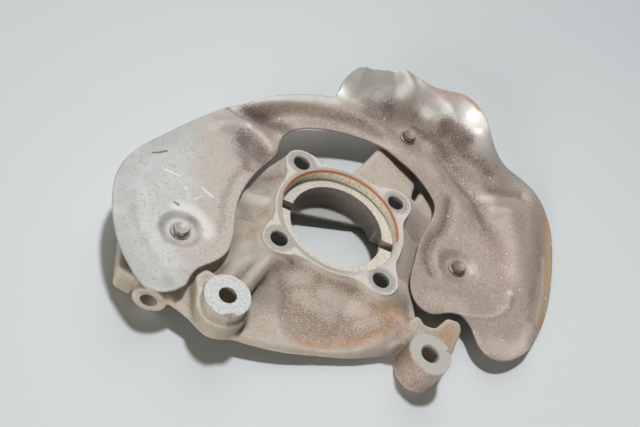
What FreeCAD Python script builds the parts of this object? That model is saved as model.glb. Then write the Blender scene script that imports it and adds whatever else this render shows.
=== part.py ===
import FreeCAD
import Part
import math
import os

# Steering knuckle of a road car with its brake dust shield.
# Frame: origin at the centre of the hub bore on the machined outboard face, +Z outboard along the
# bore axis, +Y towards the upper arm, +X towards the right-hand caliper boss.

# Driving sizes. All are in millimetres, but a fall is a slope and an angle is in degrees.
# Hub seat and flange
HUB_BORE = 90.6
MOUTH_CHAMFER = 1.2
SEAT_DEPTH = 8.0
COLLAR_BORE = 73.0
COLLAR_HEIGHT = 6.0
COLLAR_SLOT = 8.0
FACE_RING = 5.2
FLANGE_THICKNESS = 13.0
BARREL_DEPTH = 29.0
BOLT_CIRCLE = 112.0
HUB_BOLT_HOLE = 13.0
EAR_RADIUS = 12.5
EAR_FILLET = 16.0
WELL_DEPTH = 14.0
WELL_FOOT = 31.0
SHELF_THICKNESS = 3.5
SHELF_REACH = 20.0
SHELF_ANGLE = 14.0
# Casting
CASTING_DEPTH = 27.0
LIP_DROP = 4.0
WEB_FALL = 0.42
SIDE_FALL = 0.7
WEB_LEVEL = 21.5
ARM_LEVEL = 17.5
SKIN_BLEND = 5.0
BOWL_DEPTH = 1.5
WEB_WALL = 8.0
CORE_INNER = 58.0
CORE_OUTER = 88.0
NECK_LEVEL = 5.5
NECK_WIDTH = 15.0
NECK_DROP = 9.0
NECK_BLEND = 2.0
SKIN_SPACING = 14.0
RIB_RADIUS = 6.0
RIB_SHOULDER = 8.0
BLOCK_DEPTH = 42.0
BLOCK_TOP = 19.0
# Caliper bosses
LEFT_BOSS_X = -61.5
LEFT_BOSS_Y = -102.5
RIGHT_BOSS_X = 84.0
RIGHT_BOSS_Y = -85.5
CALIPER_HOLE = 12.5
BOSS_RADIUS = 16.0
BOSS_COLLAR = 18.5
BOSS_COLLAR_DEPTH = 9.0
LUG_LEVEL = 8.0
FIN_LEVEL = 6.0
LUG_DEPTH = 24.0
# Link eye, which lies along Y, and the foot of the upper arm
EYE_X = -107.5
EYE_FACE = -108.0
EYE_DEPTH = 30.5
EYE_RADIUS = 12.0
EYE_HOLE = 12.2
EYE_LENGTH = 34.0
ARM_FOOT_DEPTH = 30.0
ARM_FOOT_RADIUS = 15.0
# Dust shield
SHIELD_LENGTH = 347.0
SHIELD_WIDTH = 297.0
SHEET_THICKNESS = 1.5
SHEET_LEVEL = 10.0
SHEET_SPACING = 13.0
PLAN_MARGIN = 12.0
DISH_DEPTH = 3.0
DISH_FLOOR = 10.5
DISH_RIM = 16.0
DISH_RING = 2.0
DISH_FADE = 14.0
SHIELD_HOLE = 7.0
CHANNEL_DEPTH = 4.0
CHANNEL_WIDTH = 9.0
CHANNEL_RADIUS = 112.0
STRIP_RISE = 2.5
STRIP_START = 116.0
STRIP_END = 127.0
FLANGE_RISE = 25.0
FLANGE_START = 136.0
FLANGE_TOP = 180.0
EDGE_DROP = 6.0
EDGE_START = 160.0
EDGE_END = 182.0
# Shield bolts
LEFT_BOLT_X = -105.5
LEFT_BOLT_Y = -57.0
UPPER_BOLT_X = 43.0
UPPER_BOLT_Y = 131.0
RIGHT_BOLT_X = 101.5
RIGHT_BOLT_Y = 11.0
BOLT_THREAD = 6.0
BOLT_LENGTH = 12.0
BOLT_CHAMFER = 0.8
HEAD_FLATS = 10.0
HEAD_HEIGHT = 5.0
BOLT_FLANGE = 14.5
BOLT_FLANGE_EDGE = 1.4
THREAD_CLEARANCE = 0.1
PAD_RADIUS = 10.0

# The sheet that drives the model: a plain name for each size
CELLS = {
    "hub_bore": HUB_BORE, "mouth_chamfer": MOUTH_CHAMFER, "seat_depth": SEAT_DEPTH,
    "collar_bore": COLLAR_BORE, "collar_height": COLLAR_HEIGHT, "collar_slot": COLLAR_SLOT,
    "face_ring": FACE_RING, "flange_thickness": FLANGE_THICKNESS, "barrel_depth": BARREL_DEPTH,
    "bolt_circle": BOLT_CIRCLE, "hub_bolt_hole": HUB_BOLT_HOLE, "ear_radius": EAR_RADIUS,
    "ear_fillet": EAR_FILLET, "well_depth": WELL_DEPTH, "well_foot": WELL_FOOT,
    "shelf_thickness": SHELF_THICKNESS, "shelf_reach": SHELF_REACH, "shelf_angle": SHELF_ANGLE,
    "casting_depth": CASTING_DEPTH, "lip_drop": LIP_DROP, "web_fall": WEB_FALL, "side_fall": SIDE_FALL,
    "web_level": WEB_LEVEL, "arm_level": ARM_LEVEL, "skin_blend": SKIN_BLEND, "bowl_depth": BOWL_DEPTH,
    "web_wall": WEB_WALL, "core_inner": CORE_INNER, "core_outer": CORE_OUTER, "neck_level": NECK_LEVEL,
    "neck_width": NECK_WIDTH, "neck_drop": NECK_DROP, "neck_blend": NECK_BLEND,
    "skin_spacing": SKIN_SPACING, "rib_radius": RIB_RADIUS, "rib_shoulder": RIB_SHOULDER,
    "block_depth": BLOCK_DEPTH, "block_top": BLOCK_TOP,
    "left_boss_x": LEFT_BOSS_X, "left_boss_y": LEFT_BOSS_Y, "right_boss_x": RIGHT_BOSS_X,
    "right_boss_y": RIGHT_BOSS_Y, "caliper_hole": CALIPER_HOLE, "boss_radius": BOSS_RADIUS,
    "boss_collar": BOSS_COLLAR, "boss_collar_depth": BOSS_COLLAR_DEPTH, "lug_level": LUG_LEVEL,
    "fin_level": FIN_LEVEL, "lug_depth": LUG_DEPTH,
    "eye_x": EYE_X, "eye_face": EYE_FACE, "eye_depth": EYE_DEPTH, "eye_radius": EYE_RADIUS,
    "eye_hole": EYE_HOLE, "eye_length": EYE_LENGTH, "arm_foot_depth": ARM_FOOT_DEPTH,
    "arm_foot_radius": ARM_FOOT_RADIUS,
    "shield_length": SHIELD_LENGTH, "shield_width": SHIELD_WIDTH, "sheet_thickness": SHEET_THICKNESS,
    "sheet_level": SHEET_LEVEL, "sheet_spacing": SHEET_SPACING, "plan_margin": PLAN_MARGIN,
    "dish_depth": DISH_DEPTH, "dish_floor": DISH_FLOOR, "dish_rim": DISH_RIM, "dish_ring": DISH_RING,
    "dish_fade": DISH_FADE, "shield_hole": SHIELD_HOLE,
    "channel_depth": CHANNEL_DEPTH, "channel_width": CHANNEL_WIDTH, "channel_radius": CHANNEL_RADIUS,
    "strip_rise": STRIP_RISE, "strip_start": STRIP_START, "strip_end": STRIP_END,
    "flange_rise": FLANGE_RISE, "flange_start": FLANGE_START, "flange_top": FLANGE_TOP,
    "edge_drop": EDGE_DROP, "edge_start": EDGE_START, "edge_end": EDGE_END,
    "left_bolt_x": LEFT_BOLT_X, "left_bolt_y": LEFT_BOLT_Y, "upper_bolt_x": UPPER_BOLT_X,
    "upper_bolt_y": UPPER_BOLT_Y, "right_bolt_x": RIGHT_BOLT_X, "right_bolt_y": RIGHT_BOLT_Y,
    "bolt_thread": BOLT_THREAD, "bolt_length": BOLT_LENGTH, "bolt_chamfer": BOLT_CHAMFER,
    "head_flats": HEAD_FLATS, "head_height": HEAD_HEIGHT, "bolt_flange": BOLT_FLANGE,
    "bolt_flange_edge": BOLT_FLANGE_EDGE, "thread_clearance": THREAD_CLEARANCE, "pad_radius": PAD_RADIUS,
}

document = FreeCAD.newDocument("knuckle")
sheet = document.addObject("Spreadsheet::Sheet", "sizes")
for row, (alias, value) in enumerate(CELLS.items(), start=1):
    sheet.set("A%d" % row, alias.replace("_", " "))
    sheet.set("B%d" % row, str(value))
    sheet.setAlias("B%d" % row, alias)
document.recompute()


def size(alias):
    """A driving size as a plain number."""
    return float(sheet.get(alias))


def bind(item, **rules):
    """Tie properties of an object to cells of the sheet; a double underscore stands for a dot."""
    for place, rule in rules.items():
        item.setExpression(place.replace("__", "."), rule)
    return item


def cylinder(name, radius, height, across="0", along="0", level="0"):
    """Upright cylinder; every argument is a rule in the names of the sheet."""
    item = document.addObject("Part::Cylinder", name)
    return bind(item, Radius=radius, Height=height, Placement__Base__x=across,
                Placement__Base__y=along, Placement__Base__z=level)


def fuse(name, members):
    """One solid from several that meet."""
    item = document.addObject("Part::MultiFuse", name)
    item.Shapes = members
    return item


def cut(name, base, tools):
    """The base less all of its tools."""
    item = document.addObject("Part::Cut", name)
    item.Base = base
    item.Tool = tools[0] if len(tools) == 1 else fuse(name + "_tools", tools)
    return item


def feature(name, shape):
    """A surface-modelled shape that no primitive gives."""
    item = document.addObject("Part::Feature", name)
    item.Shape = shape
    return item


def smooth(ends, value):
    """0 before the first end, 1 after the second, and an even curve between them."""
    share = min(1.0, max(0.0, (value - ends[0]) / (ends[1] - ends[0])))
    return share * share * (3.0 - 2.0 * share)


def softer_maximum(first, second, blend):
    """The higher of two levels with a rounded hollow where they cross."""
    return 0.5 * (first + second + math.hypot(first - second, blend))


def bearing(x, y):
    """Direction from the bore axis in degrees, counted from +X."""
    return math.degrees(math.atan2(y, x))


def bounds(points, margin):
    """Lowest and highest plan corners of some points, moved out by a margin."""
    low = [min(point[axis] for point in points) - margin for axis in (0, 1)]
    high = [max(point[axis] for point in points) + margin for axis in (0, 1)]
    return low, high


def spline(points, level=0.0):
    """Smooth edge through plan points at one level."""
    curve = Part.BSplineCurve()
    curve.interpolate([FreeCAD.Vector(x, y, level) for x, y in points])
    return curve.toShape()


def rounded_outline(corners, level=0.0):
    """Closed wire of straight runs joined by tangent arcs; a corner is x, y and its radius."""
    ends = []
    count = len(corners)
    for index in range(count):
        corner = FreeCAD.Vector(corners[index][0], corners[index][1], level)
        before = FreeCAD.Vector(corners[index - 1][0], corners[index - 1][1], level) - corner
        after_index = (index + 1) % count
        after = FreeCAD.Vector(corners[after_index][0], corners[after_index][1], level) - corner
        half_angle = before.getAngle(after) / 2.0
        before.normalize()
        after.normalize()
        radius = corners[index][2]
        reach = radius / math.tan(half_angle)
        middle = before + after
        middle.normalize()
        centre = corner + middle * (radius / math.sin(half_angle))
        ends.append((corner + before * reach, centre - middle * radius, corner + after * reach))
    edges = []
    for index, (first, crown, last) in enumerate(ends):
        edges.append(Part.Arc(first, crown, last).toShape())
        edges.append(Part.makeLine(last, ends[(index + 1) % count][0]))
    return Part.Wire(edges)


def height_solid(height, plan, spacing, depth):
    """Block under a smooth surface z = height(x, y) over a plan rectangle."""
    low, high = plan
    columns = int(math.ceil((high[0] - low[0]) / spacing)) + 1
    rows = int(math.ceil((high[1] - low[1]) / spacing)) + 1
    grid = []
    for column in range(columns):
        x = low[0] + (high[0] - low[0]) * column / (columns - 1)
        line = []
        for row in range(rows):
            y = low[1] + (high[1] - low[1]) * row / (rows - 1)
            line.append(FreeCAD.Vector(x, y, height(x, y)))
        grid.append(line)
    surface = Part.BSplineSurface()
    surface.interpolate(grid)
    return surface.toShape().extrude(FreeCAD.Vector(0, 0, -depth))


# Places shared by the casting, the sheet and the bolts
BOLTS = {side: (size(side + "_bolt_x"), size(side + "_bolt_y")) for side in ("left", "upper", "right")}
FACE_RADIUS = size("hub_bore") / 2.0 + size("face_ring")
PAD_RULE = "-(sizes.sheet_level + sizes.dish_depth + sizes.sheet_thickness)"


# Machined flange: the ring round the bore with its four bolt ears
def flange_outline():
    """Ring circle, ear circles and the hollow arcs that join them, as one wire."""
    ring = FACE_RADIUS
    ear = size("ear_radius")
    fillet = size("ear_fillet")
    reach = size("bolt_circle") / 2.0
    to_fillet = ring + fillet
    spread = math.acos((reach ** 2 + to_fillet ** 2 - (ear + fillet) ** 2) / (2.0 * reach * to_fillet))

    def polar(radius, angle, centre=(0.0, 0.0)):
        return FreeCAD.Vector(centre[0] + radius * math.cos(angle), centre[1] + radius * math.sin(angle), 0)

    edges = []
    for quarter in range(4):
        axis = math.radians(45.0 + 90.0 * quarter)
        ear_centre = polar(reach, axis)
        sides = {}
        for turn in (-1, 1):
            hollow_centre = polar(to_fillet, axis + turn * spread)
            on_ring = polar(ring, axis + turn * spread)
            away = (ear_centre - hollow_centre).normalize()
            on_ear = hollow_centre + away * fillet
            inward = ((on_ring - hollow_centre).normalize() + away).normalize()
            sides[turn] = (on_ring, hollow_centre + inward * fillet, on_ear)
        edges.append(Part.Arc(*sides[-1]).toShape())
        edges.append(Part.Arc(sides[-1][2], polar(reach + ear, axis), sides[1][2]).toShape())
        edges.append(Part.Arc(sides[1][2], sides[1][1], sides[1][0]).toShape())
        following = axis + math.radians(90.0)
        edges.append(Part.Arc(sides[1][0], polar(ring, axis + math.radians(45.0)),
                              polar(ring, following - spread)).toShape())
    return Part.Wire(edges)


outline = feature("flange_outline", flange_outline())
flange = document.addObject("Part::Extrusion", "hub_flange")
flange.Base = outline
flange.Dir = FreeCAD.Vector(0, 0, -1)
flange.DirMode = "Custom"
flange.Solid = True
bind(flange, LengthFwd="sizes.flange_thickness")

barrel = cylinder("barrel", "sizes.hub_bore / 2 + sizes.face_ring", "sizes.barrel_depth",
                  level="-sizes.barrel_depth")


# Casting skin: falls away from the flange to the web, the left arm and the upper arm
CASTING_OUTLINE = [
    (0.5, 44, 3), (0.5, 61, 8), (11, 84, 60), (24, 118, 30), (23, 146, 12), (61, 150, 14), (62, 112, 10),
    (57, 67, 1.5), (60, 66, 1.5), (67, 96, 8), (92, 74, 16), (112, 36, 18), (116, 0, 16), (90, -16, 16),
    (71, -30, 10), (76, -54, 8), (88, -62, 4), (94, -78, 6), (70, -77, 10), (38, -95, 110),
    (-18, -114, 160), (-66, -118, 40), (-98, -107, 16), (-120, -103, 3), (-134, -100, 4), (-143, -66, 30),
    (-139, -36, 26), (-104, -10, 60), (-76, 10, 30), (-60, 36, 16), (-44, 52, 4),
]
LEFT_BLOCK = [
    (-120, -103, 3), (-134, -100, 4), (-143, -66, 12), (-138, -42, 8), (-122, -46, 6), (-117, -80, 8),
]
LEFT_LUG = [(-85, -91, 4), (-80, -82, 4), (-60, -88, 3), (-66, -110, 3), (-80, -104, 3)]
RIGHT_FIN = [
    (72, -86, 3), (68, -60, 6), (73, -49, 4), (79, -58, 5), (88, -57, 6), (96, -44, 4), (107, -43, 4),
    (108, -52, 4), (101, -82, 3),
]
WEB_BOWL = [
    (-38, -62, 5), (-26, -78, 12), (-14, -102, 12), (10, -105, 20), (34, -94, 30), (62, -66, 6),
    (60, -40, 8), (0, -44, 8), (-30, -48, 4),
]
RIB_ENDS = [(-39, -48, -8.5), (-57, -98, -13.5)]
SHOULDER_ENDS = [(-50, -46, -15), (-68, -92, -20)]
NECK_START = (44, -46)
# Where the skin turns from the low web to the steeper sides and to the upper arm
SIDE_ALONG = (-50.0, -25.0)
SIDE_ACROSS = (-50.0, -62.0)
ARM_ALONG = (5.0, 60.0)
ARM_ACROSS = (-30.0, 10.0)
# Shallow oval beside the right-hand neck
OVAL_PLACE = (66.0, -47.0)
OVAL_WIDTHS = (6.5, 10.0)
OVAL_DEPTH = 4.0
# Hollowed parts of the underside: first bearing and turn of each, in degrees
CORE_ANGLES = {"left": (205, 58), "right": (269, 38)}


def flange_distance(x, y):
    """How far a plan point lies outside the machined flange."""
    reach = size("bolt_circle") / 2.0 * math.sqrt(0.5)
    nearest_ear = math.hypot(abs(x) - reach, abs(y) - reach) - size("ear_radius")
    return max(0.0, min(math.hypot(x, y) - FACE_RADIUS, nearest_ear))


def line_distance(x, y, start, end):
    """Distance in plan from a point to a straight run."""
    run_x = end[0] - start[0]
    run_y = end[1] - start[1]
    share = ((x - start[0]) * run_x + (y - start[1]) * run_y) / (run_x ** 2 + run_y ** 2)
    share = min(1.0, max(0.0, share))
    return math.hypot(x - start[0] - share * run_x, y - start[1] - share * run_y)


def skin_height(x, y):
    """Level of the outboard side of the casting."""
    beside = max(smooth(SIDE_ALONG, y), smooth(SIDE_ACROSS, x))
    steep = size("web_fall") + (size("side_fall") - size("web_fall")) * beside
    fall = -size("lip_drop") - steep * flange_distance(x, y)
    share = smooth(ARM_ALONG, y) * smooth(ARM_ACROSS, x)
    level = -size("web_level") + (size("web_level") - size("arm_level")) * share
    skin = softer_maximum(fall, level, size("skin_blend"))
    off_neck = line_distance(x, y, NECK_START, (size("right_boss_x"), size("right_boss_y")))
    neck = -size("neck_level") - size("neck_drop") * (off_neck / size("neck_width")) ** 2
    off_oval = [(x - OVAL_PLACE[0]) / OVAL_WIDTHS[0], (y - OVAL_PLACE[1]) / OVAL_WIDTHS[1]]
    hollow = OVAL_DEPTH * math.exp(-off_oval[0] ** 2 - off_oval[1] ** 2)
    return softer_maximum(skin, neck, size("neck_blend")) - hollow


def extruded(corners, low, high):
    """Prism over a rounded outline between two levels."""
    return Part.Face(rounded_outline(corners, low)).extrude(FreeCAD.Vector(0, 0, high - low))


def casting_body():
    """Skin over the outline of the casting, flat behind, with a shallow bowl in the web."""
    depth = size("casting_depth")
    plan = bounds(CASTING_OUTLINE, size("plan_margin"))
    block = height_solid(skin_height, plan, size("skin_spacing"), 2.0 * depth)
    bowl_floor = block.translated(FreeCAD.Vector(0, 0, -size("bowl_depth")))
    bowl = extruded(WEB_BOWL, -depth, 0.0).cut(bowl_floor)
    return extruded(CASTING_OUTLINE, -depth, 0.0).common(block).cut(bowl)


casting = feature("casting_skin", casting_body())

# Caliper bosses
left_boss = cylinder("left_boss", "sizes.boss_radius", "sizes.casting_depth", "sizes.left_boss_x",
                     "sizes.left_boss_y", "-sizes.casting_depth")
right_boss = cylinder("right_boss", "sizes.boss_radius", "sizes.casting_depth", "sizes.right_boss_x",
                      "sizes.right_boss_y", "-sizes.casting_depth")
left_collar = cylinder("left_boss_collar", "sizes.boss_collar", "sizes.casting_depth - sizes.boss_collar_depth",
                       "sizes.left_boss_x", "sizes.left_boss_y", "-sizes.casting_depth")
lug = feature("left_lug", extruded(LEFT_LUG, -size("lug_depth"), -size("lug_level")))
fin = feature("right_fin", extruded(RIGHT_FIN, -size("lug_depth"), -size("fin_level")))


# Rib from the lower left ear to the left boss, with a rounded shoulder on its outer side
def bar(name, ends, radius):
    """Round bar between two points."""
    start = FreeCAD.Vector(*ends[0])
    run = FreeCAD.Vector(*ends[1]) - start
    return feature(name, Part.makeCylinder(radius, run.Length, start, run))


rib = bar("left_rib", RIB_ENDS, size("rib_radius"))
shoulder = bar("left_rib_shoulder", SHOULDER_ENDS, size("rib_shoulder"))

# Block behind the link eye
block = feature("left_block", extruded(LEFT_BLOCK, -size("block_depth"), -size("block_top")))

# Link eye, lying along Y
eye = document.addObject("Part::Cylinder", "link_eye")
eye.Placement = FreeCAD.Placement(FreeCAD.Vector(0, 0, 0), FreeCAD.Rotation(FreeCAD.Vector(1, 0, 0), -90))
bind(eye, Radius="sizes.eye_radius", Height="sizes.eye_length", Placement__Base__x="sizes.eye_x",
     Placement__Base__y="sizes.eye_face", Placement__Base__z="-sizes.eye_depth")

# Foot that ends the upper arm
foot = cylinder("arm_foot", "sizes.arm_foot_radius", "sizes.arm_foot_depth - sizes.arm_level",
                "sizes.upper_bolt_x", "sizes.upper_bolt_y", "-sizes.arm_foot_depth")

pads = []
for side in BOLTS:
    pads.append(cylinder(side + "_pad", "sizes.pad_radius",
                         "sizes.casting_depth + (%s)" % PAD_RULE,
                         "sizes.%s_bolt_x" % side, "sizes.%s_bolt_y" % side, "-sizes.casting_depth"))

solid_casting = fuse("solid_casting", [flange, barrel, casting, left_boss, left_collar, right_boss, lug, fin,
                                       rib, shoulder, block, eye, foot] + pads)


def underside_core(first_angle, turn):
    """Wedge that leaves an even wall behind the web, turned through part of a circle."""
    low = -size("casting_depth")
    high = -size("lip_drop") - size("web_wall")
    inner = size("core_inner")
    profile = [(inner, low - 1.0), (inner, high), (size("core_outer"), low - 1.0), (inner, low - 1.0)]
    face = Part.Face(Part.makePolygon([FreeCAD.Vector(radius, 0, level) for radius, level in profile]))
    wedge = face.revolve(FreeCAD.Vector(0, 0, 0), FreeCAD.Vector(0, 0, 1), turn)
    wedge.rotate(FreeCAD.Vector(0, 0, 0), FreeCAD.Vector(0, 0, 1), first_angle)
    return wedge


cores = [feature(side + "_core", underside_core(*CORE_ANGLES[side])) for side in CORE_ANGLES]

# Bore: seat, collar with two slots, and the open well below it
seat = cylinder("hub_seat", "sizes.hub_bore / 2", "sizes.seat_depth + 1", level="-sizes.seat_depth")
mouth = document.addObject("Part::Cone", "bore_mouth")
bind(mouth, Radius1="sizes.hub_bore / 2", Radius2="sizes.hub_bore / 2 + sizes.mouth_chamfer",
     Height="sizes.mouth_chamfer", Placement__Base__z="-sizes.mouth_chamfer")
well = cylinder("well", "sizes.collar_bore / 2", "sizes.barrel_depth + 1", level="-sizes.barrel_depth - 1")
slots = document.addObject("Part::Box", "collar_slots")
bind(slots, Length="sizes.hub_bore", Width="sizes.collar_slot", Height="sizes.collar_height + 1",
     Placement__Base__x="-sizes.hub_bore / 2", Placement__Base__y="-sizes.collar_slot / 2",
     Placement__Base__z="-sizes.seat_depth - sizes.collar_height")

# Shelf that closes the far part of the well, with a tapered foot
shelf_disc = cylinder("shelf_disc", "sizes.collar_bore / 2 + 1", "sizes.barrel_depth - sizes.well_depth",
                      level="-sizes.barrel_depth")
well_foot = document.addObject("Part::Cone", "well_foot")
bind(well_foot, Radius1="sizes.well_foot", Radius2="sizes.collar_bore / 2",
     Height="sizes.barrel_depth - sizes.well_depth - sizes.shelf_thickness",
     Placement__Base__z="-sizes.barrel_depth + sizes.shelf_thickness")
shelf_bowl = cut("shelf_bowl", shelf_disc, [well_foot])
shelf_side = document.addObject("Part::Box", "shelf_side")
half_span = size("collar_bore")
turn = math.radians(size("shelf_angle"))
corner = FreeCAD.Vector(-half_span * math.cos(turn) - size("shelf_reach") * math.sin(turn),
                        -half_span * math.sin(turn) + size("shelf_reach") * math.cos(turn), 0)
shelf_side.Placement = FreeCAD.Placement(corner, FreeCAD.Rotation(FreeCAD.Vector(0, 0, 1), size("shelf_angle")))
bind(shelf_side, Length="2 * sizes.collar_bore", Width="sizes.collar_bore", Height="sizes.barrel_depth",
     Placement__Base__z="-sizes.barrel_depth")
shelf = document.addObject("Part::Common", "shelf")
shelf.Base = shelf_bowl
shelf.Tool = shelf_side

hub_holes = []
for quarter in range(4):
    angle = 45 + 90 * quarter
    hub_holes.append(cylinder("hub_bolt_hole_%d" % (quarter + 1), "sizes.hub_bolt_hole / 2",
                              "sizes.barrel_depth + 2", "sizes.bolt_circle / 2 * cos(%d)" % angle,
                              "sizes.bolt_circle / 2 * sin(%d)" % angle, "-sizes.barrel_depth - 1"))

caliper_holes = []
for side in ("left", "right"):
    caliper_holes.append(cylinder(side + "_caliper_hole", "sizes.caliper_hole / 2", "sizes.barrel_depth + 2",
                                  "sizes.%s_boss_x" % side, "sizes.%s_boss_y" % side,
                                  "-sizes.barrel_depth - 1"))

thread_holes = []
for side in BOLTS:
    thread_holes.append(cylinder(side + "_thread_hole", "sizes.bolt_thread / 2 + sizes.thread_clearance",
                                 "sizes.bolt_length + sizes.dish_depth", "sizes.%s_bolt_x" % side,
                                 "sizes.%s_bolt_y" % side,
                                 "-(sizes.sheet_level + sizes.dish_depth + sizes.bolt_length + 1)"))

eye_hole = document.addObject("Part::Cylinder", "eye_hole")
eye_hole.Placement = eye.Placement
bind(eye_hole, Radius="sizes.eye_hole / 2", Height="sizes.eye_length + 2", Placement__Base__x="sizes.eye_x",
     Placement__Base__y="sizes.eye_face - 1", Placement__Base__z="-sizes.eye_depth")

machined = cut("machined_casting", solid_casting,
               [seat, mouth, well, slots, eye_hole] + cores + hub_holes + caliper_holes + thread_holes)
knuckle = fuse("whole_knuckle", [machined, shelf])
knuckle.Label = "steering_knuckle"


# Dust shield: one pressed sheet. Its outline is drawn here at full size, and the length and the width
# in the sheet stretch it.
SHIELD_LEFT = [
    (-109, 73), (-127, 47), (-145, 17), (-157, -6), (-161, -28), (-157, -52), (-149, -72), (-138, -90),
    (-124, -105), (-111, -113), (-99, -110), (-89, -99),
]
SHIELD_INNER = [
    (-89, -99), (-86, -84), (-78, -74), (-71, -62), (-70, -46), (-74, -24), (-75, -6), (-72, 13), (-66, 31),
    (-60, 45), (-60, 63), (-54, 80), (-40, 92), (-20, 102), (2, 108), (24, 108), (38, 100), (54, 90), (67, 78),
    (75, 66), (74, 46), (68, 22), (66, 0), (66, -26), (73, -39), (82, -43), (94, -38), (106, -34), (115, -38),
    (124, -53), (138, -60), (152, -54), (165, -40),
]
SHIELD_RIGHT = [(165, -40), (176, -15), (183, 14), (186, 50), (186, 78), (182, 104), (173, 120), (162, 131)]
SHIELD_HUMP = [
    (162, 131), (148, 135), (132, 135), (118, 139), (108, 149), (101, 166), (93, 177), (79, 184), (60, 179),
    (40, 178), (24, 179), (10, 172), (-4, 168), (-16, 165), (-24, 158), (-26, 148), (-27, 136),
]
SHIELD_BAND = [(-27, 136), (-47, 127), (-68, 113), (-86, 97), (-99, 82), (-109, 73)]
SHIELD_SIDES = (SHIELD_LEFT, SHIELD_INNER, SHIELD_RIGHT, SHIELD_HUMP, SHIELD_BAND)

# Pressed ridges and grooves: a run of points, the half width and the height of each
RIDGE_RUNS = [
    [(-104, 62), (-87, 64), (-75, 62), (-65, 55)],
    [(-140, -55), (-145, -23), (-141, 0), (-132, 18), (-116, 44)],
    [(66, 134), (80, 119), (96, 103), (114, 82), (126, 60)],
    [(128, 92), (142, 88), (150, 60), (154, 24)],
]
RIDGE_WIDTHS = [7.0, 9.0, 9.0, 12.0]
RIDGE_HEIGHTS = [3.5, 1.2, -3.0, 2.2]
# Pressed bowls: place, half width and depth of each
BOWL_PLACES = [(-79, 42), (-72, 80), (86, 160)]
BOWL_WIDTHS = [13.0, 15.0, 13.0]
BOWL_DEPTHS = [3.0, 3.5, 5.0]
# Bearings in degrees where the band and the upper flange start and end, and the flutes of the flange
BAND_ANGLES = ((150.0, 128.0), (60.0, 84.0))
FLANGE_ANGLES = ((104.0, 94.0), (38.0, 58.0))
FLUTE_ANGLE = 96.0
FLUTE_RATE = 8.5
FLUTE_SHARE = 0.06
# Where the rolled right edge fades out
EDGE_ALONG = (150.0, 90.0)


def stretched(points):
    """Points of the drawn shield, stretched to its length and width."""
    low, high = bounds([point for side in SHIELD_SIDES for point in side], 0.0)
    wide = size("shield_length") / (high[0] - low[0])
    tall = size("shield_width") / (high[1] - low[1])
    return [(x * wide, y * tall) for x, y in points]


RIDGES = [stretched(run) for run in RIDGE_RUNS]
BOWLS = stretched(BOWL_PLACES)


def relief(x, y):
    """Height that the pressed ridges and bowls add to the sheet."""
    total = 0.0
    for run, width, height in zip(RIDGES, RIDGE_WIDTHS, RIDGE_HEIGHTS):
        away = min(line_distance(x, y, run[index], run[index + 1]) for index in range(len(run) - 1))
        total += height * math.exp(-(away / width) ** 2)
    for place, width, depth in zip(BOWLS, BOWL_WIDTHS, BOWL_DEPTHS):
        total -= depth * math.exp(-(math.hypot(x - place[0], y - place[1]) / width) ** 2)
    return total


def sheet_height(x, y):
    """Level of the outboard side of the pressed sheet."""
    radius = math.hypot(x, y)
    angle = bearing(x, y)
    band = smooth(BAND_ANGLES[0], angle) * smooth(BAND_ANGLES[1], angle)
    channel = -size("channel_depth") * math.exp(-((radius - size("channel_radius")) / size("channel_width")) ** 2)
    strip = size("strip_rise") * smooth((size("strip_start"), size("strip_end")), radius)
    pressed = band * (channel + strip)
    upper = smooth(FLANGE_ANGLES[0], angle) * smooth(FLANGE_ANGLES[1], angle)
    flute = 1.0 - FLUTE_SHARE + FLUTE_SHARE * math.cos(math.radians((angle - FLUTE_ANGLE) * FLUTE_RATE))
    lift = smooth((size("flange_start"), size("flange_top")), radius)
    pressed += upper * flute * size("flange_rise") * lift
    pressed -= size("edge_drop") * smooth((size("edge_start"), size("edge_end")), x) * smooth(EDGE_ALONG, y)
    pressed += relief(x, y)
    near = size("dish_rim") + size("dish_ring")
    for bolt_x, bolt_y in BOLTS.values():
        away = math.hypot(x - bolt_x, y - bolt_y)
        pressed *= smooth((near, near + size("dish_fade")), away)
    return -size("sheet_level") + pressed


def pressed_sheet():
    """Height surface, cut to the outline, with the sheet's thickness."""
    reach = 2.0 * size("flange_rise")
    sides = [stretched(side) for side in SHIELD_SIDES]
    edges = [spline(side, -reach) for side in sides]
    blank = Part.Face(Part.Wire(edges)).extrude(FreeCAD.Vector(0, 0, 2.0 * reach))
    plan = bounds([point for side in sides for point in side], size("plan_margin"))
    skin = height_solid(sheet_height, plan, size("sheet_spacing"), size("sheet_thickness"))
    return skin.common(blank)


blank = feature("pressed_sheet", pressed_sheet())


def cone(name, side, foot, height, level):
    """Upright cone with the slope of a dish's wall about a bolt's axis."""
    item = document.addObject("Part::Cone", name)
    spread = "(sizes.dish_rim - sizes.dish_floor) / sizes.dish_depth"
    return bind(item, Radius1=foot, Radius2="%s + (%s) * %s" % (foot, height, spread), Height=height,
                Placement__Base__x="sizes.%s_bolt_x" % side, Placement__Base__y="sizes.%s_bolt_y" % side,
                Placement__Base__z=level)


# Bolt dishes: a cone stands below the sheet, and a like one a sheet's thickness higher is taken away
UNDER_FOOT = "sizes.dish_floor + sizes.sheet_thickness / 4"
UNDER_HEIGHT = "sizes.dish_depth + 0.4 * sizes.sheet_thickness"
HOLLOW_HEIGHT = "sizes.dish_depth + sizes.dish_ring"
under_sides = []
dish_hollows = []
for side in BOLTS:
    under_sides.append(cone(side + "_dish_under", side, UNDER_FOOT, UNDER_HEIGHT, PAD_RULE))
    dish_hollows.append(cone(side + "_dish_hollow", side, "sizes.dish_floor", HOLLOW_HEIGHT,
                             "-(sizes.sheet_level + sizes.dish_depth)"))
    dish_hollows.append(cylinder(side + "_shield_hole", "sizes.shield_hole / 2", "2 * sizes.sheet_level",
                                 "sizes.%s_bolt_x" % side, "sizes.%s_bolt_y" % side, "-2 * sizes.sheet_level"))
shield = cut("finished_shield", fuse("sheet_with_dishes", [blank] + under_sides), dish_hollows)
shield.Label = "dust_shield"


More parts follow.
